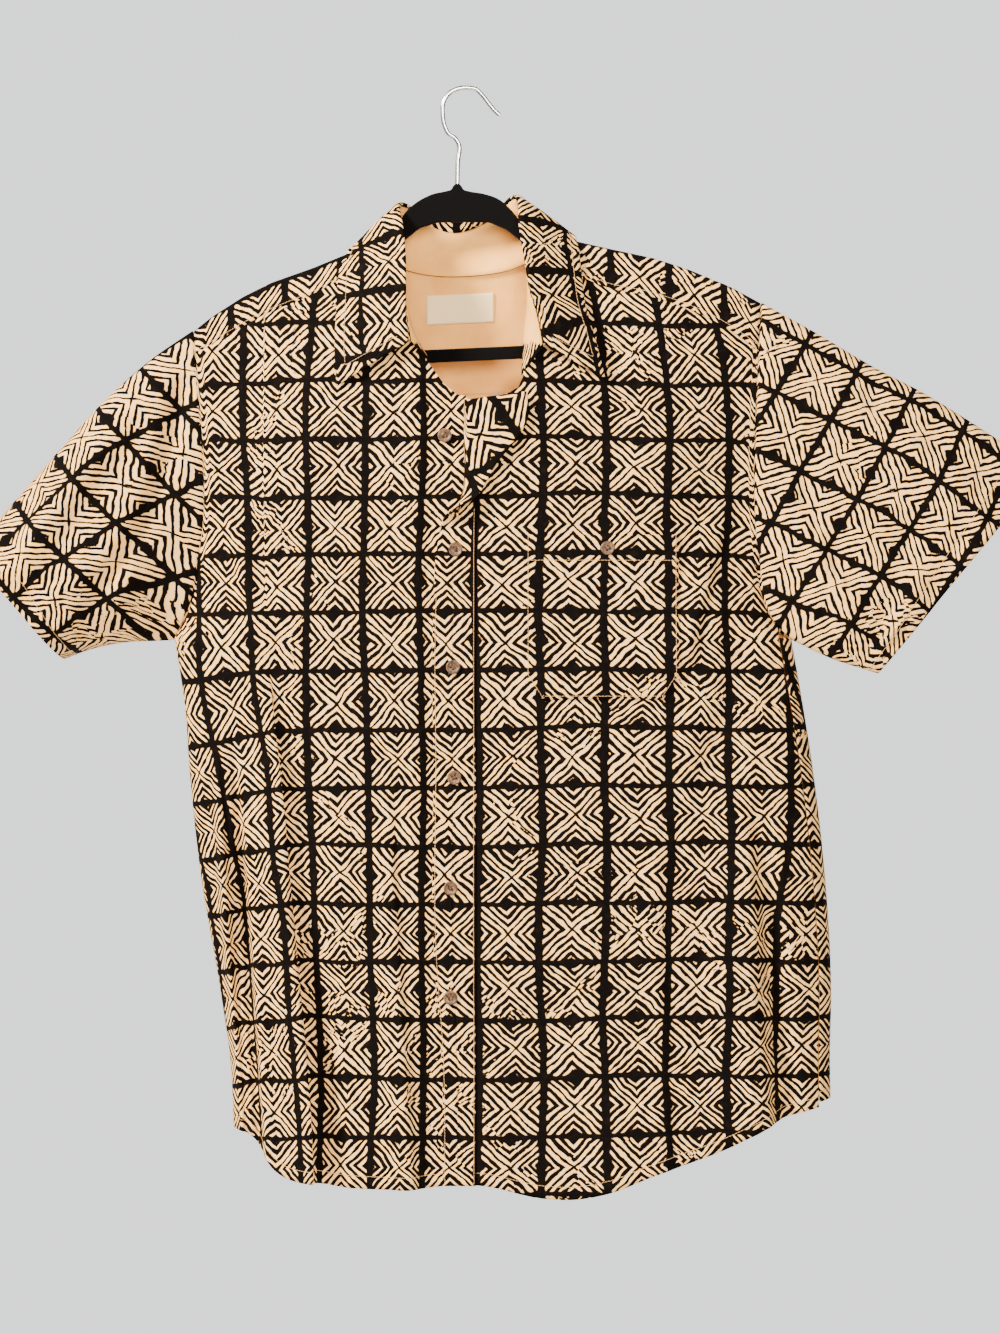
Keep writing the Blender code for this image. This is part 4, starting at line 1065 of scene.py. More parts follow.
sleeves = {}
sleeve_cotton = make_printed_cotton("Block-printed cotton of the sleeves", 0.45)
angle = np.linspace(0, 2 * np.pi, RING_POINTS, endpoint=False)
for name, rows, hole, sign in (
    ("sleeve_right", SLEEVE_RIGHT, ARMHOLE_RIGHT, -1),
    ("sleeve_left", SLEEVE_LEFT, ARMHOLE_LEFT, 1),
):
    outer = sleeve_rings(rows, hole, sign, np.linspace(0, 1, 60))
    turned = sleeve_rings(rows, hole, sign, np.linspace(1, 1 - HEM_SHARE, 8), shrink=HEM_IN)
    sleeves[name] = outer
    allowance = []
    for inside in ALLOWANCE:
        ring = outer[0].copy()
        ring[:, 0] -= sign * inside
        ring[:, 1] = np.sign(ring[:, 1]) * np.maximum(np.abs(ring[:, 1]) - 2.2, 0)
        ring[:, 2] -= 2.2 * np.cos(angle)
        allowance.append(ring)
    grid = np.concatenate([allowance, outer, turned])
    shut = np.concatenate([grid, grid[:, :1]], axis=1)
    # The print's uprights go round the sleeve, square to its top edge
    top_edge = np.array([np.ptp(rows["top_x"]) * sign, 0, -np.ptp(rows["top_z"])])
    top_edge /= np.linalg.norm(top_edge)
    u = (shut - grid[0, 0]) @ top_edge
    cuff = len(allowance) + len(outer) - 1
    u[cuff + 1:] = 2 * u[cuff] - u[cuff + 1:] + 1
    square = np.array([top_edge[2], 0, -top_edge[0]]) * sign
    move = np.diff(shut, axis=1)
    down = move @ square
    level = np.maximum(np.hypot(move[..., 0], move[..., 2]), 1e-6)
    deeper = (np.hypot(level, move[..., 1]) - level) * np.abs(down) / level
    turn_back = np.where(np.arange(RING_POINTS) < RING_POINTS // 2, 1, -1)
    v = np.zeros(shut.shape[:2])
    v[:, 1:] = np.cumsum(down * turn_back + deeper, axis=1)
    corner_x, corner_z = SLEEVE_PRINT[sign]
    in_front = outer[..., 1] <= 0
    off = np.hypot(outer[..., 0] - corner_x, outer[..., 2] - corner_z) + 99 * ~in_front
    i, j = np.unravel_index(off.argmin(), off.shape)
    corner = i + len(allowance), j
    sew(name + "_cloth", grid, u - u[corner], v - v[corner], name, closed=True, flip=sign < 0,
        faces=(sleeve_cotton, wrong_side))

# The collar: a stand with its plain side in, and a printed leaf folded over it, both of doubled
# cotton sewn to the neckline. It stands open, so the inside of the stand shows behind the neck.
DOUBLED = 1.1  # thickness of two layers as they are modelled
STAND_PLAIN_Z = -212.0  # below this its ends are printed inside too
STRADDLE = 14.0  # half the width of the strip along the shoulder line
NECK_STEPS = np.linspace(0, 1, 150)


def station(column):
    """A column of the neckline's table at every step round the neck."""
    return read(NECKLINE, column, "at", NECK_STEPS)


def clear_of_body(points, gap):
    """Moves points up or out until they lie this far from the shoulders, fronts and back."""
    x, y, z = points[..., 0], points[..., 1], points[..., 2]
    narrow = np.minimum(np.abs(y), STRADDLE)
    fall = np.where(narrow < NOSE, NOSE - np.sqrt(np.maximum(NOSE**2 - narrow**2, 0)),
                    NOSE + (narrow - NOSE) * 0.9)
    z = np.where(np.abs(y) < STRADDLE, np.maximum(z, shoulder_z(x) - fall + 1.3 * gap), z)
    face_depth = np.where(y < 0, solid_depth(x, z, FRONT), solid_depth(x, z, BACK))
    below = (z < shoulder_z(x)) & (np.abs(y) >= STRADDLE)
    out = np.where(below, np.sign(y) * np.maximum(np.abs(y), face_depth + gap), y)
    return np.stack([x, out, z], axis=-1)


seam_side = np.interp(NECK_STEPS, collar_at, COLLAR["side"])
seam_x, seam_z = station("seam_x"), station("seam_z")
seam_y = np.where(seam_side < 0, -solid_depth(seam_x, seam_z, FRONT), solid_depth(seam_x, seam_z, BACK))
seam = np.stack([seam_x, seam_y, seam_z], axis=-1)
fold = np.stack([station("fold_x"), station("fold_y"), station("fold_z")], axis=-1)
up = fold - seam
stand_height = np.linalg.norm(up, axis=1, keepdims=True)
up /= stand_height
grid = np.array([seam + up * (-2.0 + (stand_height + 0.9) * t) for t in np.linspace(0, 1, 12)])
grid[:4, :, 1] -= np.sign(seam_side) * np.array([1.3, 1.1, 0.7, 0.3])[:, None]
u, v = flat_lengths(grid, upright=False)
stand = sew("collar_stand_cloth", grid, np.repeat(u[-1:], len(grid), axis=0), v, "collar_stand",
            thickness=DOUBLED, slot="plain_cotton", held="folded", rests_on="yoke_cloth")
for _ in ("outside", "inside"):
    stand.data.materials.append(printed_cotton)
for face in stand.data.polygons:
    if face.center.z < STAND_PLAIN_Z * MM:
        face.material_index = 2

edge_x, edge_z = station("edge_x"), station("edge_z")
front_y = -solid_depth(edge_x, edge_z, FRONT) - 5.0
back_y = solid_depth(edge_x, edge_z, BACK) + 3.0
edge_y = np.where(seam_side < 0, front_y, back_y) * np.minimum(np.abs(seam_side), 1)
edge = np.stack([edge_x, edge_y, edge_z], axis=-1)
out_y = np.sign(seam_side) * np.minimum(np.abs(seam_side), 1)
out_x = np.sign(edge_x - fold[:, 0]) * (1 - np.abs(out_y))
outward = np.stack([out_x, out_y, 0.6 * (1 - np.abs(out_y))], axis=-1)
outward /= np.linalg.norm(outward, axis=1, keepdims=True)
leaf = edge - fold
leaf_length = np.linalg.norm(leaf, axis=1, keepdims=True)
# The leaf from its fold to its edge: distance down it, share of its length, rise past the
# fold, distance out from the stand
LEAF = table(
    "at down share past out",
    (0.00, 0, 0.0, 0.9, 0.3),
    (0.04, 0, 0.0, 2.2, 1.6),
    (0.08, 1, 0.0, 1.6, 3.2),
    (0.15, 5, 0.0, 0.0, 3.8),
    (0.32, 5, 0.2, 0.0, 3.8),
    (0.53, 3, 0.45, 0.0, 3.0),
    (0.78, 0, 0.75, 0.0, 1.6),
    (1.00, 0, 1.0, 0.0, 0.0),
)
rows = []
behind_neck = np.exp(-(((NECK_STEPS - 0.5) / 0.07) ** 2))[:, None]
for inside in (8.5, 5.5, 2.5):
    rows.append(fold + up * (0.9 - inside * behind_neck) - outward * (0.3 + 0.9 * behind_neck))
for t in np.concatenate([np.linspace(0, 0.15, 12), np.linspace(0.15, 1, 30)[1:]]):
    down, share, past, out = (float(read(LEAF, c, "at", t)) for c in ("down", "share", "past", "out"))
    row = fold + leaf / leaf_length * down + leaf * share + up * past + outward * out
    rows.append(clear_of_body(row, 2.8) if share > 0 else row)
grid = np.array(rows)
u, v = flat_lengths(grid, upright=False)
tangent = np.gradient(fold, axis=0)
tangent /= np.linalg.norm(tangent, axis=1, keepdims=True)
slant = ((grid - fold) * tangent).sum(axis=2)
along_fold = np.cumsum(np.linalg.norm(np.diff(fold, axis=0), axis=1))
u = np.concatenate([[0], along_fold]) + slant
v = np.sqrt(np.maximum(v**2 - np.where(v > 14, slant, 0) ** 2, 0))
collar = grid
sew("collar_fall_cloth", grid, u - u[0, len(NECK_STEPS) // 2], -v - 4, "collar_fall", thickness=DOUBLED,
    flip=True, held="folded", rests_on="collar_stand_cloth", faces=(printed_cotton, printed_cotton))

# The placket: a folded band of the cotton on the left front's edge. Above the second button it
# is turned outwards like a lapel, and shows its other face. Its table gives its roll (or middle)
# line, the width beyond it, how far it is turned over in degrees, and its far edge's drop.
PLACKET = table(
    "z roll_x beyond turn drop",
    (-903, -8, 12, 0, 0),
    (-800, -9, 12, 0, 0),
    (-700, -12, 16, 0, 0),
    (-560, -12, 16, 0, 0),
    (-430, -12, 16, 0, 0),
    (-378, -11, 14, 0, 0),
    (-356, -8, 12, 20, 0),
    (-345, -5, 12, 80, 2),
    (-334, -1, 12, 140, 4),
    (-322, 0, 14, 172, 6),
    (-306, 0, 24, 178, 4),
    (-290, 0, 40, 180, 0),
    (-276, 0, 49, 180, -2),
    (-262, 0, 49, 180, -6),
    (-253, 0, 46, 180, -7),
)
PLACKET_X = 6.5
ROLL_RADIUS = 2.6
PLACKET_ENDS = (-898, -258)
FLAP_PRINT = (22.0, 20.0)  # how far the print is moved on the turned flap
FLAP_LEAN = 0.62  # radians


def placket_row(z):
    """From the seam out to the roll line, round it, and on across the flap."""
    roll = read(PLACKET, "roll_x", "z", z)
    beyond = read(PLACKET, "beyond", "z", z)
    turn = np.radians(np.clip(read(PLACKET, "turn", "z", z), 0, 180))
    fall = read(PLACKET, "drop", "z", z)
    points = [(x, 0.0, 0.0) for x in PLACKET_X - SEAM + (roll - PLACKET_X) * np.linspace(0, 1, 12)]
    for a in np.linspace(0, turn, 12)[1:]:
        points.append((roll - ROLL_RADIUS * np.sin(a), -ROLL_RADIUS * (1 - np.cos(a)), 0.0))
    x, y, _ = points[-1]
    for t in np.linspace(0, 1, 18)[1:]:
        points.append((x - beyond * t * np.cos(turn), y - beyond * t * np.sin(turn), t))
    row = []
    for x, y, t in points:
        high = z - fall * t
        over = half_depth(min(max(x, -30.0), PLACKET_X + 60), high, FRONT)
        row.append((x, y - over, high))
    return row


grid = np.array([placket_row(z) for z in np.linspace(*PLACKET_ENDS, 200)])
u, v = flat_lengths(grid)
u = -u + PLACKET_X - 8
v = np.repeat((grid[:, :1, 2] - PRINT_ZERO_Z), grid.shape[1], axis=1)
cut = u, v
# Where it is turned over, its print comes round mirrored and leaning
turned = np.radians(read(PLACKET, "turn", "z", grid[:, :1, 2])) / math.pi
flapped = ease((turned - 0.1) / 0.5)
past = ease((np.arange(grid.shape[1]) - 12) / 10) * flapped
lean = FLAP_LEAN * past
du = u - u[:, 17:18] + FLAP_PRINT[0] * past
dv = v - 36.0 + FLAP_PRINT[1] * past
u = u[:, 17:18] + du * np.cos(lean) - dv * np.sin(lean)
v = 36.0 + du * np.sin(lean) + dv * np.cos(lean)
placket = grid
sew("placket_cloth", grid, u, v, "placket", thickness=DOUBLED, flip=True, rests_on="front_left_cloth",
    faces=(printed_cotton, printed_cotton), cut=cut)

# The pocket: one layer of the cotton laid on the left front and sewn down, with its print
# matched to the front's and its lower corners cut off
POCKET_LEFT, POCKET_RIGHT = 47.0, 172.0
POCKET_TOP, POCKET_CORNER, POCKET_BOTTOM = -368.0, -482.0, -502.0
POCKET_CUT = 13.0
POCKET_OUT = 1.9  # how far it lies in front of the front
foot_levels = np.linspace(POCKET_BOTTOM, POCKET_CORNER, 10)
rows = []
for z in np.concatenate([foot_levels, np.linspace(POCKET_CORNER, POCKET_TOP, 50)[1:]]):
    cut = POCKET_CUT * np.clip((POCKET_CORNER - z) / (POCKET_CORNER - POCKET_BOTTOM), 0, 1)
    points = on_body(np.linspace(POCKET_LEFT + cut, POCKET_RIGHT - cut, 60), np.full(60, z), FRONT)
    points[:, 1] -= POCKET_OUT
    rows.append(points)
grid = np.array(rows)
u = grid[..., 0] * CELL_WIDE / LEFT_CELL - 8
v = grid[..., 2] - PRINT_ZERO_Z
pocket = grid
sew("pocket_cloth", grid, u, v, "pocket", rests_on="front_left_cloth")

# The tag: a small label of woven cotton, left blank, sewn inside the yoke. It is woven
# plain, with a smoother face than the poplin's.
TAG_X, TAG_Z = -7.0, -178.0
TAG_WIDE, TAG_TALL = 56.0, 24.0
TAG_OUT = 1.7  # how far it lies in front of the yoke


def make_tag_cloth():
    """Cream woven cotton, a little glossier than the shirt's."""
    material, tree, shader = new_finish("Blank woven label")
    flat = add_node(tree, "ShaderNodeUVMap", uv_map="Flat")
    shader.inputs["Base Color"].default_value = linear("#FBE4B4")
    shader.inputs["Roughness"].default_value = 0.75
    tree.links.new(add_weave_bump(tree, flat, 0.3), shader.inputs["Normal"])
    return material


tag_cloth = make_tag_cloth()
rows = []
for t in np.linspace(-0.5, 0.5, 14):
    x = TAG_X + np.linspace(-0.5, 0.5, 30) * TAG_WIDE
    z = TAG_Z + t * TAG_TALL + SHOULDER_TILT * (x - TAG_X)
    points = on_body(x, z, BACK)
    points[:, 1] -= TAG_OUT
    rows.append(points)
grid = np.array(rows)
u, v = flat_lengths(grid)
sew("label_cloth", grid, u, v, "label", rests_on="yoke_cloth", faces=(tag_cloth, tag_cloth), slot="tag")

# The stitching: cotton thread in short stitches about two and a half millimetres long, a little
# uneven as a machine leaves them in washed cotton. It lies just proud of the cloth.
STITCH = 2.7
THREAD = 0.42  # its thickness


def make_stitch_nodes():
    """Geometry Nodes: short threads laid end to end along a curve."""
    tree = bpy.data.node_groups.new("Stitches", "GeometryNodeTree")
    for name, kind, way in (
        ("Line", "NodeSocketGeometry", "INPUT"),
        ("Pitch", "NodeSocketFloat", "INPUT"),
        ("Thread", "NodeSocketFloat", "INPUT"),
        ("Seed", "NodeSocketInt", "INPUT"),
        ("Material", "NodeSocketMaterial", "INPUT"),
        ("Stitches", "NodeSocketGeometry", "OUTPUT"),
    ):
        tree.interface.new_socket(name, in_out=way, socket_type=kind)
    given = tree.nodes.new("NodeGroupInput").outputs
    points = add_node(tree, "GeometryNodeResampleCurve",
                      {"Curve": given["Line"], "Length": given["Pitch"]}, mode="LENGTH")
    radius = add_node(tree, "ShaderNodeMath", {0: given["Thread"], 1: 0.5}, operation="MULTIPLY")
    long = add_node(tree, "ShaderNodeMath", {0: given["Pitch"], 1: 0.8}, operation="MULTIPLY")
    stitch = add_node(tree, "GeometryNodeMeshCylinder",
                      {"Vertices": 6, "Radius": radius, "Depth": long}, fill_type="TRIANGLE_FAN")
    uneven = {0: (-0.18, -0.18, -0.18), 1: (0.18, 0.18, 0.18), "Seed": given["Seed"]}
    shake = add_node(tree, "FunctionNodeRandomValue", uneven, data_type="FLOAT_VECTOR")
    tangent = add_node(tree, "GeometryNodeInputTangent")
    way = add_node(tree, "ShaderNodeVectorMath", {0: tangent, 1: shake}, operation="ADD")
    turn = add_node(tree, "FunctionNodeAlignRotationToVector", {"Vector": way}, axis="Z")
    laid = add_node(tree, "GeometryNodeInstanceOnPoints",
                    {"Points": points, "Instance": stitch, "Rotation": turn})
    real = add_node(tree, "GeometryNodeRealizeInstances", {0: laid})
    dressed = add_node(tree, "GeometryNodeSetMaterial",
                       {"Geometry": real, "Material": given["Material"]})
    sent = tree.nodes.new("NodeGroupOutput")
    tree.links.new(dressed, sent.inputs["Stitches"])
    return tree


stitch_nodes = make_stitch_nodes()


def make_thread(name, colour):
    """Spun cotton thread: matt, its fibres too fine to show."""
    material, _, shader = new_finish(name)
    shader.inputs["Base Color"].default_value = linear(colour)
    shader.inputs["Roughness"].default_value = 0.7
    return material


tan_thread = make_thread("Tan cotton thread", "#C39A66")


def proud(grid, rise, flip=False):
    """A grid's points moved out along its normals."""
    across = np.gradient(grid, axis=1)
    upward = np.gradient(grid, axis=0)
    out = np.cross(across, upward) * (-1 if flip else 1)
    return grid + out / np.maximum(np.linalg.norm(out, axis=2, keepdims=True), 1e-6) * rise


def add_line(curve, points):
    """Adds a line through these points, given in metres, to a curve."""
    spline = curve.splines.new("POLY")
    spline.points.add(len(points) - 1)
    for point, place in zip(spline.points, points):
        point.co = (*place, 1)
    return spline


def finished_mesh(item, name):
    """An object as it is shown, made a plain mesh in its place. The object itself is removed."""
    bpy.context.view_layer.update()
    shown = item.evaluated_get(bpy.context.evaluated_depsgraph_get())
    mesh = bpy.data.meshes.new_from_object(shown)
    mesh.transform(item.matrix_world)
    mesh.name = name
    bpy.data.objects.remove(item)
    return mesh


def stitch(name, lines, seed):
    """Stitches along these lines, as one piece."""
    curve = bpy.data.curves.new(name, "CURVE")
    curve.dimensions = "3D"
    for line in lines:
        add_line(curve, (np.asarray(line) * MM).tolist())
    source = add_object(name + "_line", curve)
    maker = source.modifiers.new("Stitches", "NODES")
    maker.node_group = stitch_nodes
    sockets = [item for item in stitch_nodes.interface.items_tree if item.in_out == "INPUT"]
    named = {item.name: item.identifier for item in sockets}
    maker[named["Pitch"]] = STITCH * MM
    maker[named["Thread"]] = THREAD * MM
    maker[named["Seed"]] = seed
    maker[named["Material"]] = tan_thread
    sewn = add_object(name, finished_mesh(source, name))
    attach(sewn, "root")


lift = COTTON / 2 + 0.15
doubled_lift = DOUBLED / 2 + 0.15
hems = [proud(right_front, lift), proud(left_front, lift), proud(back, lift, flip=True)]
stitch("hem_stitching", [hem[2] for hem in hems], seed=3)

# Two rows hold the placket: one beside its seam, one near its free edge below the flap
raised = proud(placket, doubled_lift, flip=True)
stitch("placket_stitching", [raised[:172, 1], raised[:150, -3]], seed=5)

# The pocket is sewn down its sides and round its foot, and across the hem at its top
raised = proud(pocket, lift)
sides_and_foot = np.concatenate([raised[::-1, 1], raised[1, 1:-1], raised[:, -2]])
stitch("pocket_stitching", [sides_and_foot, raised[49]], seed=7)

# The collar's leaf is edge-stitched all round, six millimetres in
raised = proud(collar, doubled_lift, flip=True)
round_leaf = np.concatenate([raised[17:-4, 4], raised[-5, 5:-5], raised[17:-4, -5][::-1]])
stitch("collar_stitching", [round_leaf], seed=9)

# The sleeve hems are stitched where their turned edge lies, twenty-five millimetres up
for name, rings in sleeves.items():
    closed = np.concatenate([rings, rings[:, :1]], axis=1)
    raised = proud(closed, lift, flip=name == "sleeve_right")
    stitch(name + "_hem_stitching", [raised[53]], seed=11)

# The yoke is topstitched beside its front and back seams
raised = proud(yoke, lift, flip=True)
stitch("yoke_stitching", [raised[:35, 1], raised[-37:, 1], raised[:, -2]], seed=13)

# The buttons: brown horn, turned with a raised rim and drilled with four holes, and sewn on
# with brown thread. Six close the placket, of which the top one is left undone.
BUTTONS = table(
    "x z",
    (-19, -287),
    (-10, -380),
    (-12, -476),
    (-11, -566),
    (-14, -656),
    (-14, -745),
)
POCKET_BUTTON = (114.0, -379.0)
BUTTON_RIM = table(
    "radius height",
    (4.6, -1.1),
    (5.5, -0.5),
    (5.75, 0.2),
    (5.6, 0.8),
    (5.0, 1.2),
    (4.4, 1.05),
    (3.9, 0.65),
    (3.0, 0.5),
)
RIM_POINTS = 48
HOLE_RADIUS = 0.85
HOLE_OUT = 1.35  # each hole's distance from the middle, both ways
THREAD_RADIUS = 0.17
THREAD_ARCH = table(
    "across height",
    (-1.35, -1.4),
    (-1.3, 0.2),
    (-0.7, 0.5),
    (0, 0.58),
    (0.7, 0.5),
    (1.3, 0.2),
    (1.35, -1.4),
)


def make_horn():
    """Polished horn: half matt, clouded in dark and lighter brown."""
    material, tree, shader = new_finish("Brown horn")
    place = add_node(tree, "ShaderNodeTexCoord", out=3)
    streak = add_node(tree, "ShaderNodeTexNoise",
                      {"Vector": place, "Scale": 210.0, "Detail": 4.0, "Distortion": 1.6})
    streak = add_node(tree, "ShaderNodeMapRange", {0: streak, 1: 0.4, 2: 0.68, 3: 0.0, 4: 1.0})
    tone = add_node(tree, "ShaderNodeMix", {0: streak, 6: linear("#241206"), 7: linear("#7A5430")},
                    out=2, data_type="RGBA")
    tree.links.new(tone, shader.inputs["Base Color"])
    shader.inputs["Roughness"].default_value = 0.42
    shader.inputs["Coat Weight"].default_value = 0.05
    return material


def make_button():
    """A turned disc lying on its back, its middle at the origin, with four holes through it."""
    turned = bmesh.new()
    rings = []
    for radius, height in zip(BUTTON_RIM["radius"], BUTTON_RIM["height"]):
        turns = np.linspace(0, 2 * math.pi, RIM_POINTS + 1)[:-1]
        rings.append([turned.verts.new((radius * math.cos(a), radius * math.sin(a), height)) for a in turns])
    for low, high in zip(rings, rings[1:]):
        for j in range(RIM_POINTS):
            after = (j + 1) % RIM_POINTS
            turned.faces.new([low[j], low[after], high[after], high[j]])
    turned.faces.new(rings[0][::-1])
    turned.faces.new(rings[-1])
    mesh = bpy.data.meshes.new("turned button")
    turned.to_mesh(mesh)
    turned.free()
    disc = add_object("turned button", mesh)
    drill = bmesh.new()
    for side in (-1, 1):
        for up in (-1, 1):
            hole = bmesh.ops.create_cone(drill, cap_ends=True, segments=14, radius1=HOLE_RADIUS,
                                         radius2=HOLE_RADIUS, depth=6)
            bmesh.ops.translate(drill, verts=hole["verts"], vec=(side * HOLE_OUT, up * HOLE_OUT, 0))
    drill_mesh = bpy.data.meshes.new("drill")
    drill.to_mesh(drill_mesh)
    drill.free()
    holes = add_object("drill", drill_mesh)
    cut = disc.modifiers.new("Drilled", "BOOLEAN")
    cut.operation = "DIFFERENCE"
    cut.object = holes
    made = finished_mesh(disc, "drilled button")
    bpy.data.objects.remove(holes)
    return made


horn = make_horn()
button_mesh = make_button()


def sew_button(name, x, z, under, seed):
    """A button on the cloth, which is `under` millimetres proud of the front's surface. Gives
    back the lines of the threads that hold it."""
    low_left, high_left, low_right, high_right = (
        float(half_depth(x + a, z + b, FRONT)) for a in (-5, 5) for b in (-5, 5))
    furthest = max(low_left, high_left, low_right, high_right)
    lean = math.atan((low_left + low_right - high_left - high_right) / 20)
    roll = math.atan((low_right + high_right - low_left - high_left) / 20)
    place = (Matrix.Translation(Vector((x, -furthest - under - 1.5, z)) * MM)
             @ Matrix.Rotation(math.pi / 2 - lean, 4, "X") @ Matrix.Rotation(-roll, 4, "Y")
             @ Matrix.Rotation(0.3 + 1.1 * seed, 4, "Z") @ Matrix.Scale(MM, 4))
    mesh = button_mesh.copy()
    mesh.transform(place)
    mesh.materials.clear()
    mesh.materials.append(horn)
    mesh.shade_smooth()
    piece = add_object(name + "_horn", mesh)
    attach(piece, "root")
    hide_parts(name)
    arch = list(zip(THREAD_ARCH["across"], THREAD_ARCH["height"]))
    return [[place @ Vector((side * HOLE_OUT + shift, y, 0.5 + h)) for y, h in arch]
            for side in (-1, 1) for shift in (-0.28, 0.0, 0.28)]


threads = []
for i, (x, z) in enumerate(zip(BUTTONS["x"], BUTTONS["z"])):
    threads += sew_button(f"button_{i + 1}", x, z, 0.3 - 3.4 if i == 0 else DOUBLED / 2, i)
threads += sew_button("pocket_button", *POCKET_BUTTON, POCKET_OUT + COTTON / 2, 6)
curve = bpy.data.curves.new("button_threads", "CURVE")
curve.dimensions = "3D"
curve.bevel_depth = THREAD_RADIUS * MM
curve.bevel_resolution = 1
for line in threads:
    add_line(curve, line)
sewing = add_object("button_threads", curve)
curve.materials.append(make_thread("Brown button thread", "#4A3324"))
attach(sewing, "root")

# The hanger: a flat moulded board flocked with black velvet, with one long window and a low
# bar under it. Its arms fill the shoulders, and only the middle shows at the neck.
ARCH = table(
    "x z",
    (-59, -113), (-51, -100), (-40, -91), (-28, -85.5), (-19, -83.6), (-14, -82), (-12.2, -79),
    (-9, -77), (-5.8, -79), (-4, -82), (1, -83.6), (12, -85.5), (25, -90), (35, -98.5), (45, -112),
)
HANGER_ENDS = (-220.0, 224.0)
HANGER_THICK = 5.5
BAR_HEIGHT = 10.7
BAR_Z = -218.3  # the bar's middle line, below the hook
EDGE_ROUND = 1.6  # radius of the board's edge
UNDER_CLOTH = 1.6  # from the yoke's top line down to the board
WINDOW_IN = 22  # from each end of the board to its window
# The board's top line at the neck, from which its window is measured
WINDOW_ARCH = table(
    "x z",
    (-74, -126), (-56, -104), (-40, -90), (-25, -84.5), (-5, -83), (17, -84.5), (31, -91),
    (48, -106), (66, -121),
)


def smooth_line(points, count):
    """Points along a smooth curve through the given ones."""
    points = np.array(points, float)
    at = np.concatenate([[0], np.cumsum(np.linalg.norm(np.diff(points, axis=0), axis=1))])
    path = {"at": at, "x": points[:, 0], "z": points[:, 1]}
    where = np.linspace(0, at[-1], count)
    return list(zip(read(path, "x", "at", where), read(path, "z", "at", where)))


def bar_z(x):
    """Height of the bar's middle line."""
    return BAR_Z + SHOULDER_TILT * x


left_end, right_end = HANGER_ENDS
arm_x = np.linspace(left_end, -84, 40)
left_arm = list(zip(arm_x, shoulder_z(arm_x) - UNDER_CLOTH))
arm_x = np.linspace(76, right_end, 40)
right_arm = list(zip(arm_x, shoulder_z(arm_x) - UNDER_CLOTH))
arch = smooth_line([(-76, -134), (-67, -129), *zip(ARCH["x"], ARCH["z"]), (54, -124), (65, -129)], 120)
ends = [
    (right_end + 2.5, (right_arm[-1][1] + bar_z(224)) / 2 - 3),
    (right_end - 1, bar_z(224) - 3.5),
    (right_end - 5, bar_z(220) - BAR_HEIGHT / 2),
    (left_end + 5, bar_z(-216) - BAR_HEIGHT / 2),
    (left_end + 1, bar_z(-220) - 3.5),
    (left_end - 2.5, (left_arm[0][1] + bar_z(-220)) / 2 - 3),
]
window_x = np.linspace(left_end + WINDOW_IN, right_end - WINDOW_IN, 120)
band = 17 + 9 * np.clip(1 - np.abs(window_x + 5) / 150, 0, 1)
span = np.interp(window_x, WINDOW_ARCH["x"], WINDOW_ARCH["z"])
on_arms = (window_x < WINDOW_ARCH["x"][0]) | (window_x > WINDOW_ARCH["x"][-1])
window_top = np.where(on_arms, shoulder_z(window_x) - UNDER_CLOTH, span) - band
window_foot = [(x, bar_z(x) + BAR_HEIGHT / 2) for x in (window_x[-1] - 4, window_x[0] + 4)]
window = list(zip(window_x, window_top)) + window_foot

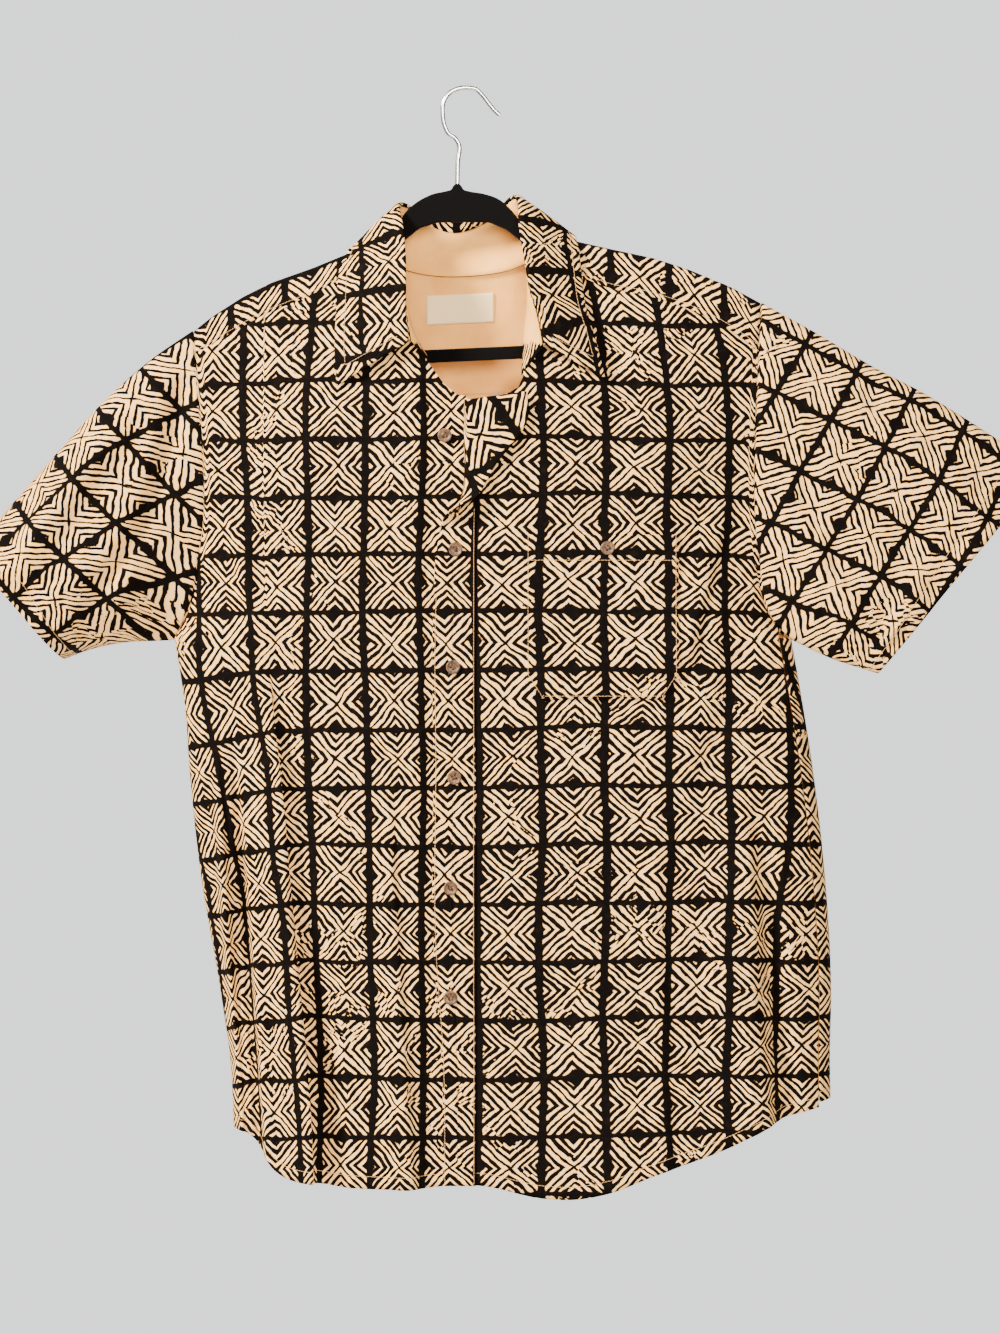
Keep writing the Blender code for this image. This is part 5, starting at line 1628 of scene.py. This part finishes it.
# Velvet flocking: short black fibres standing on glue, which give back almost no light
velvet, tree, shader = new_finish("Black velvet flocking")
place = add_node(tree, "ShaderNodeTexCoord", out=3)
nap = add_node(tree, "ShaderNodeTexNoise", {"Vector": place, "Scale": 1400.0, "Detail": 4.0})
tone = add_node(tree, "ShaderNodeMix", {0: nap, 6: linear("#020202"), 7: linear("#0C0C0E")},
                out=2, data_type="RGBA")
tree.links.new(tone, shader.inputs["Base Color"])
shader.inputs["Roughness"].default_value = 1.0
shader.inputs["Specular IOR Level"].default_value = 0.05
shader.inputs["Sheen Weight"].default_value = 0.06
fibres = add_node(tree, "ShaderNodeBump", {"Strength": 0.8, "Distance": 0.0006, "Height": nap})
tree.links.new(fibres, shader.inputs["Normal"])

board = bpy.data.curves.new("hanger board", "CURVE")
board.dimensions = "2D"
board.fill_mode = "BOTH"
board.extrude = (HANGER_THICK / 2 - EDGE_ROUND) * MM
board.bevel_depth = EDGE_ROUND * MM
board.bevel_resolution = 3
board.offset = -EDGE_ROUND * MM
for outline in (left_arm + arch + right_arm + ends, window):
    add_line(board, [(x * MM, z * MM, 0) for x, z in outline]).use_cyclic_u = True
flat_board = add_object("hanger board", board)
flat_board.rotation_euler = (math.pi / 2, 0, 0)
hanger = add_object("velvet_hanger", finished_mesh(flat_board, "velvet_hanger"))
hanger.data.shade_smooth()
hanger.data.materials.clear()
hanger.data.materials.append(velvet)
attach(hanger, "root")
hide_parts("hanger_body")

# The hook: one chromed steel wire, four millimetres thick, screwed into the board's nub. It
# rises with a slight kink, loops over, and ends in a short outward curl.
HOOK = table(
    "x z",
    (-9, -80), (-8.6, -60), (-8, -44), (-11, -39.5), (-16, -36), (-19.5, -29), (-21, -20), (-20, -9),
    (-15, -2), (-7, 1.6), (0, 2), (6, 1), (12, -4.5), (17, -11), (22, -17), (26, -20.5),
)
HOOK_WIRE = 4.0
wire = bpy.data.curves.new("hook wire", "CURVE")
wire.dimensions = "3D"
wire.bevel_depth = HOOK_WIRE / 2 * MM
wire.bevel_resolution = 7
wire.use_fill_caps = True
line = smooth_line(list(zip(HOOK["x"], HOOK["z"])), 260)
add_line(wire, [(x * MM, 0, z * MM) for x, z in line])
bent = add_object("hook wire", wire)
hook = add_object("wire_hook", finished_mesh(bent, "wire_hook"))
hook.data.shade_smooth()
# Chrome: plated and polished, a bright cool metal with a slight haze of wear
chrome, tree, shader = new_finish("Chromed steel wire")
shader.inputs["Base Color"].default_value = linear("#DCDDDF")
shader.inputs["Metallic"].default_value = 1.0
shader.inputs["Roughness"].default_value = 0.2
hook.data.materials.clear()
hook.data.materials.append(chrome)
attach(hook, "root")
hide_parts("hanger_hook")
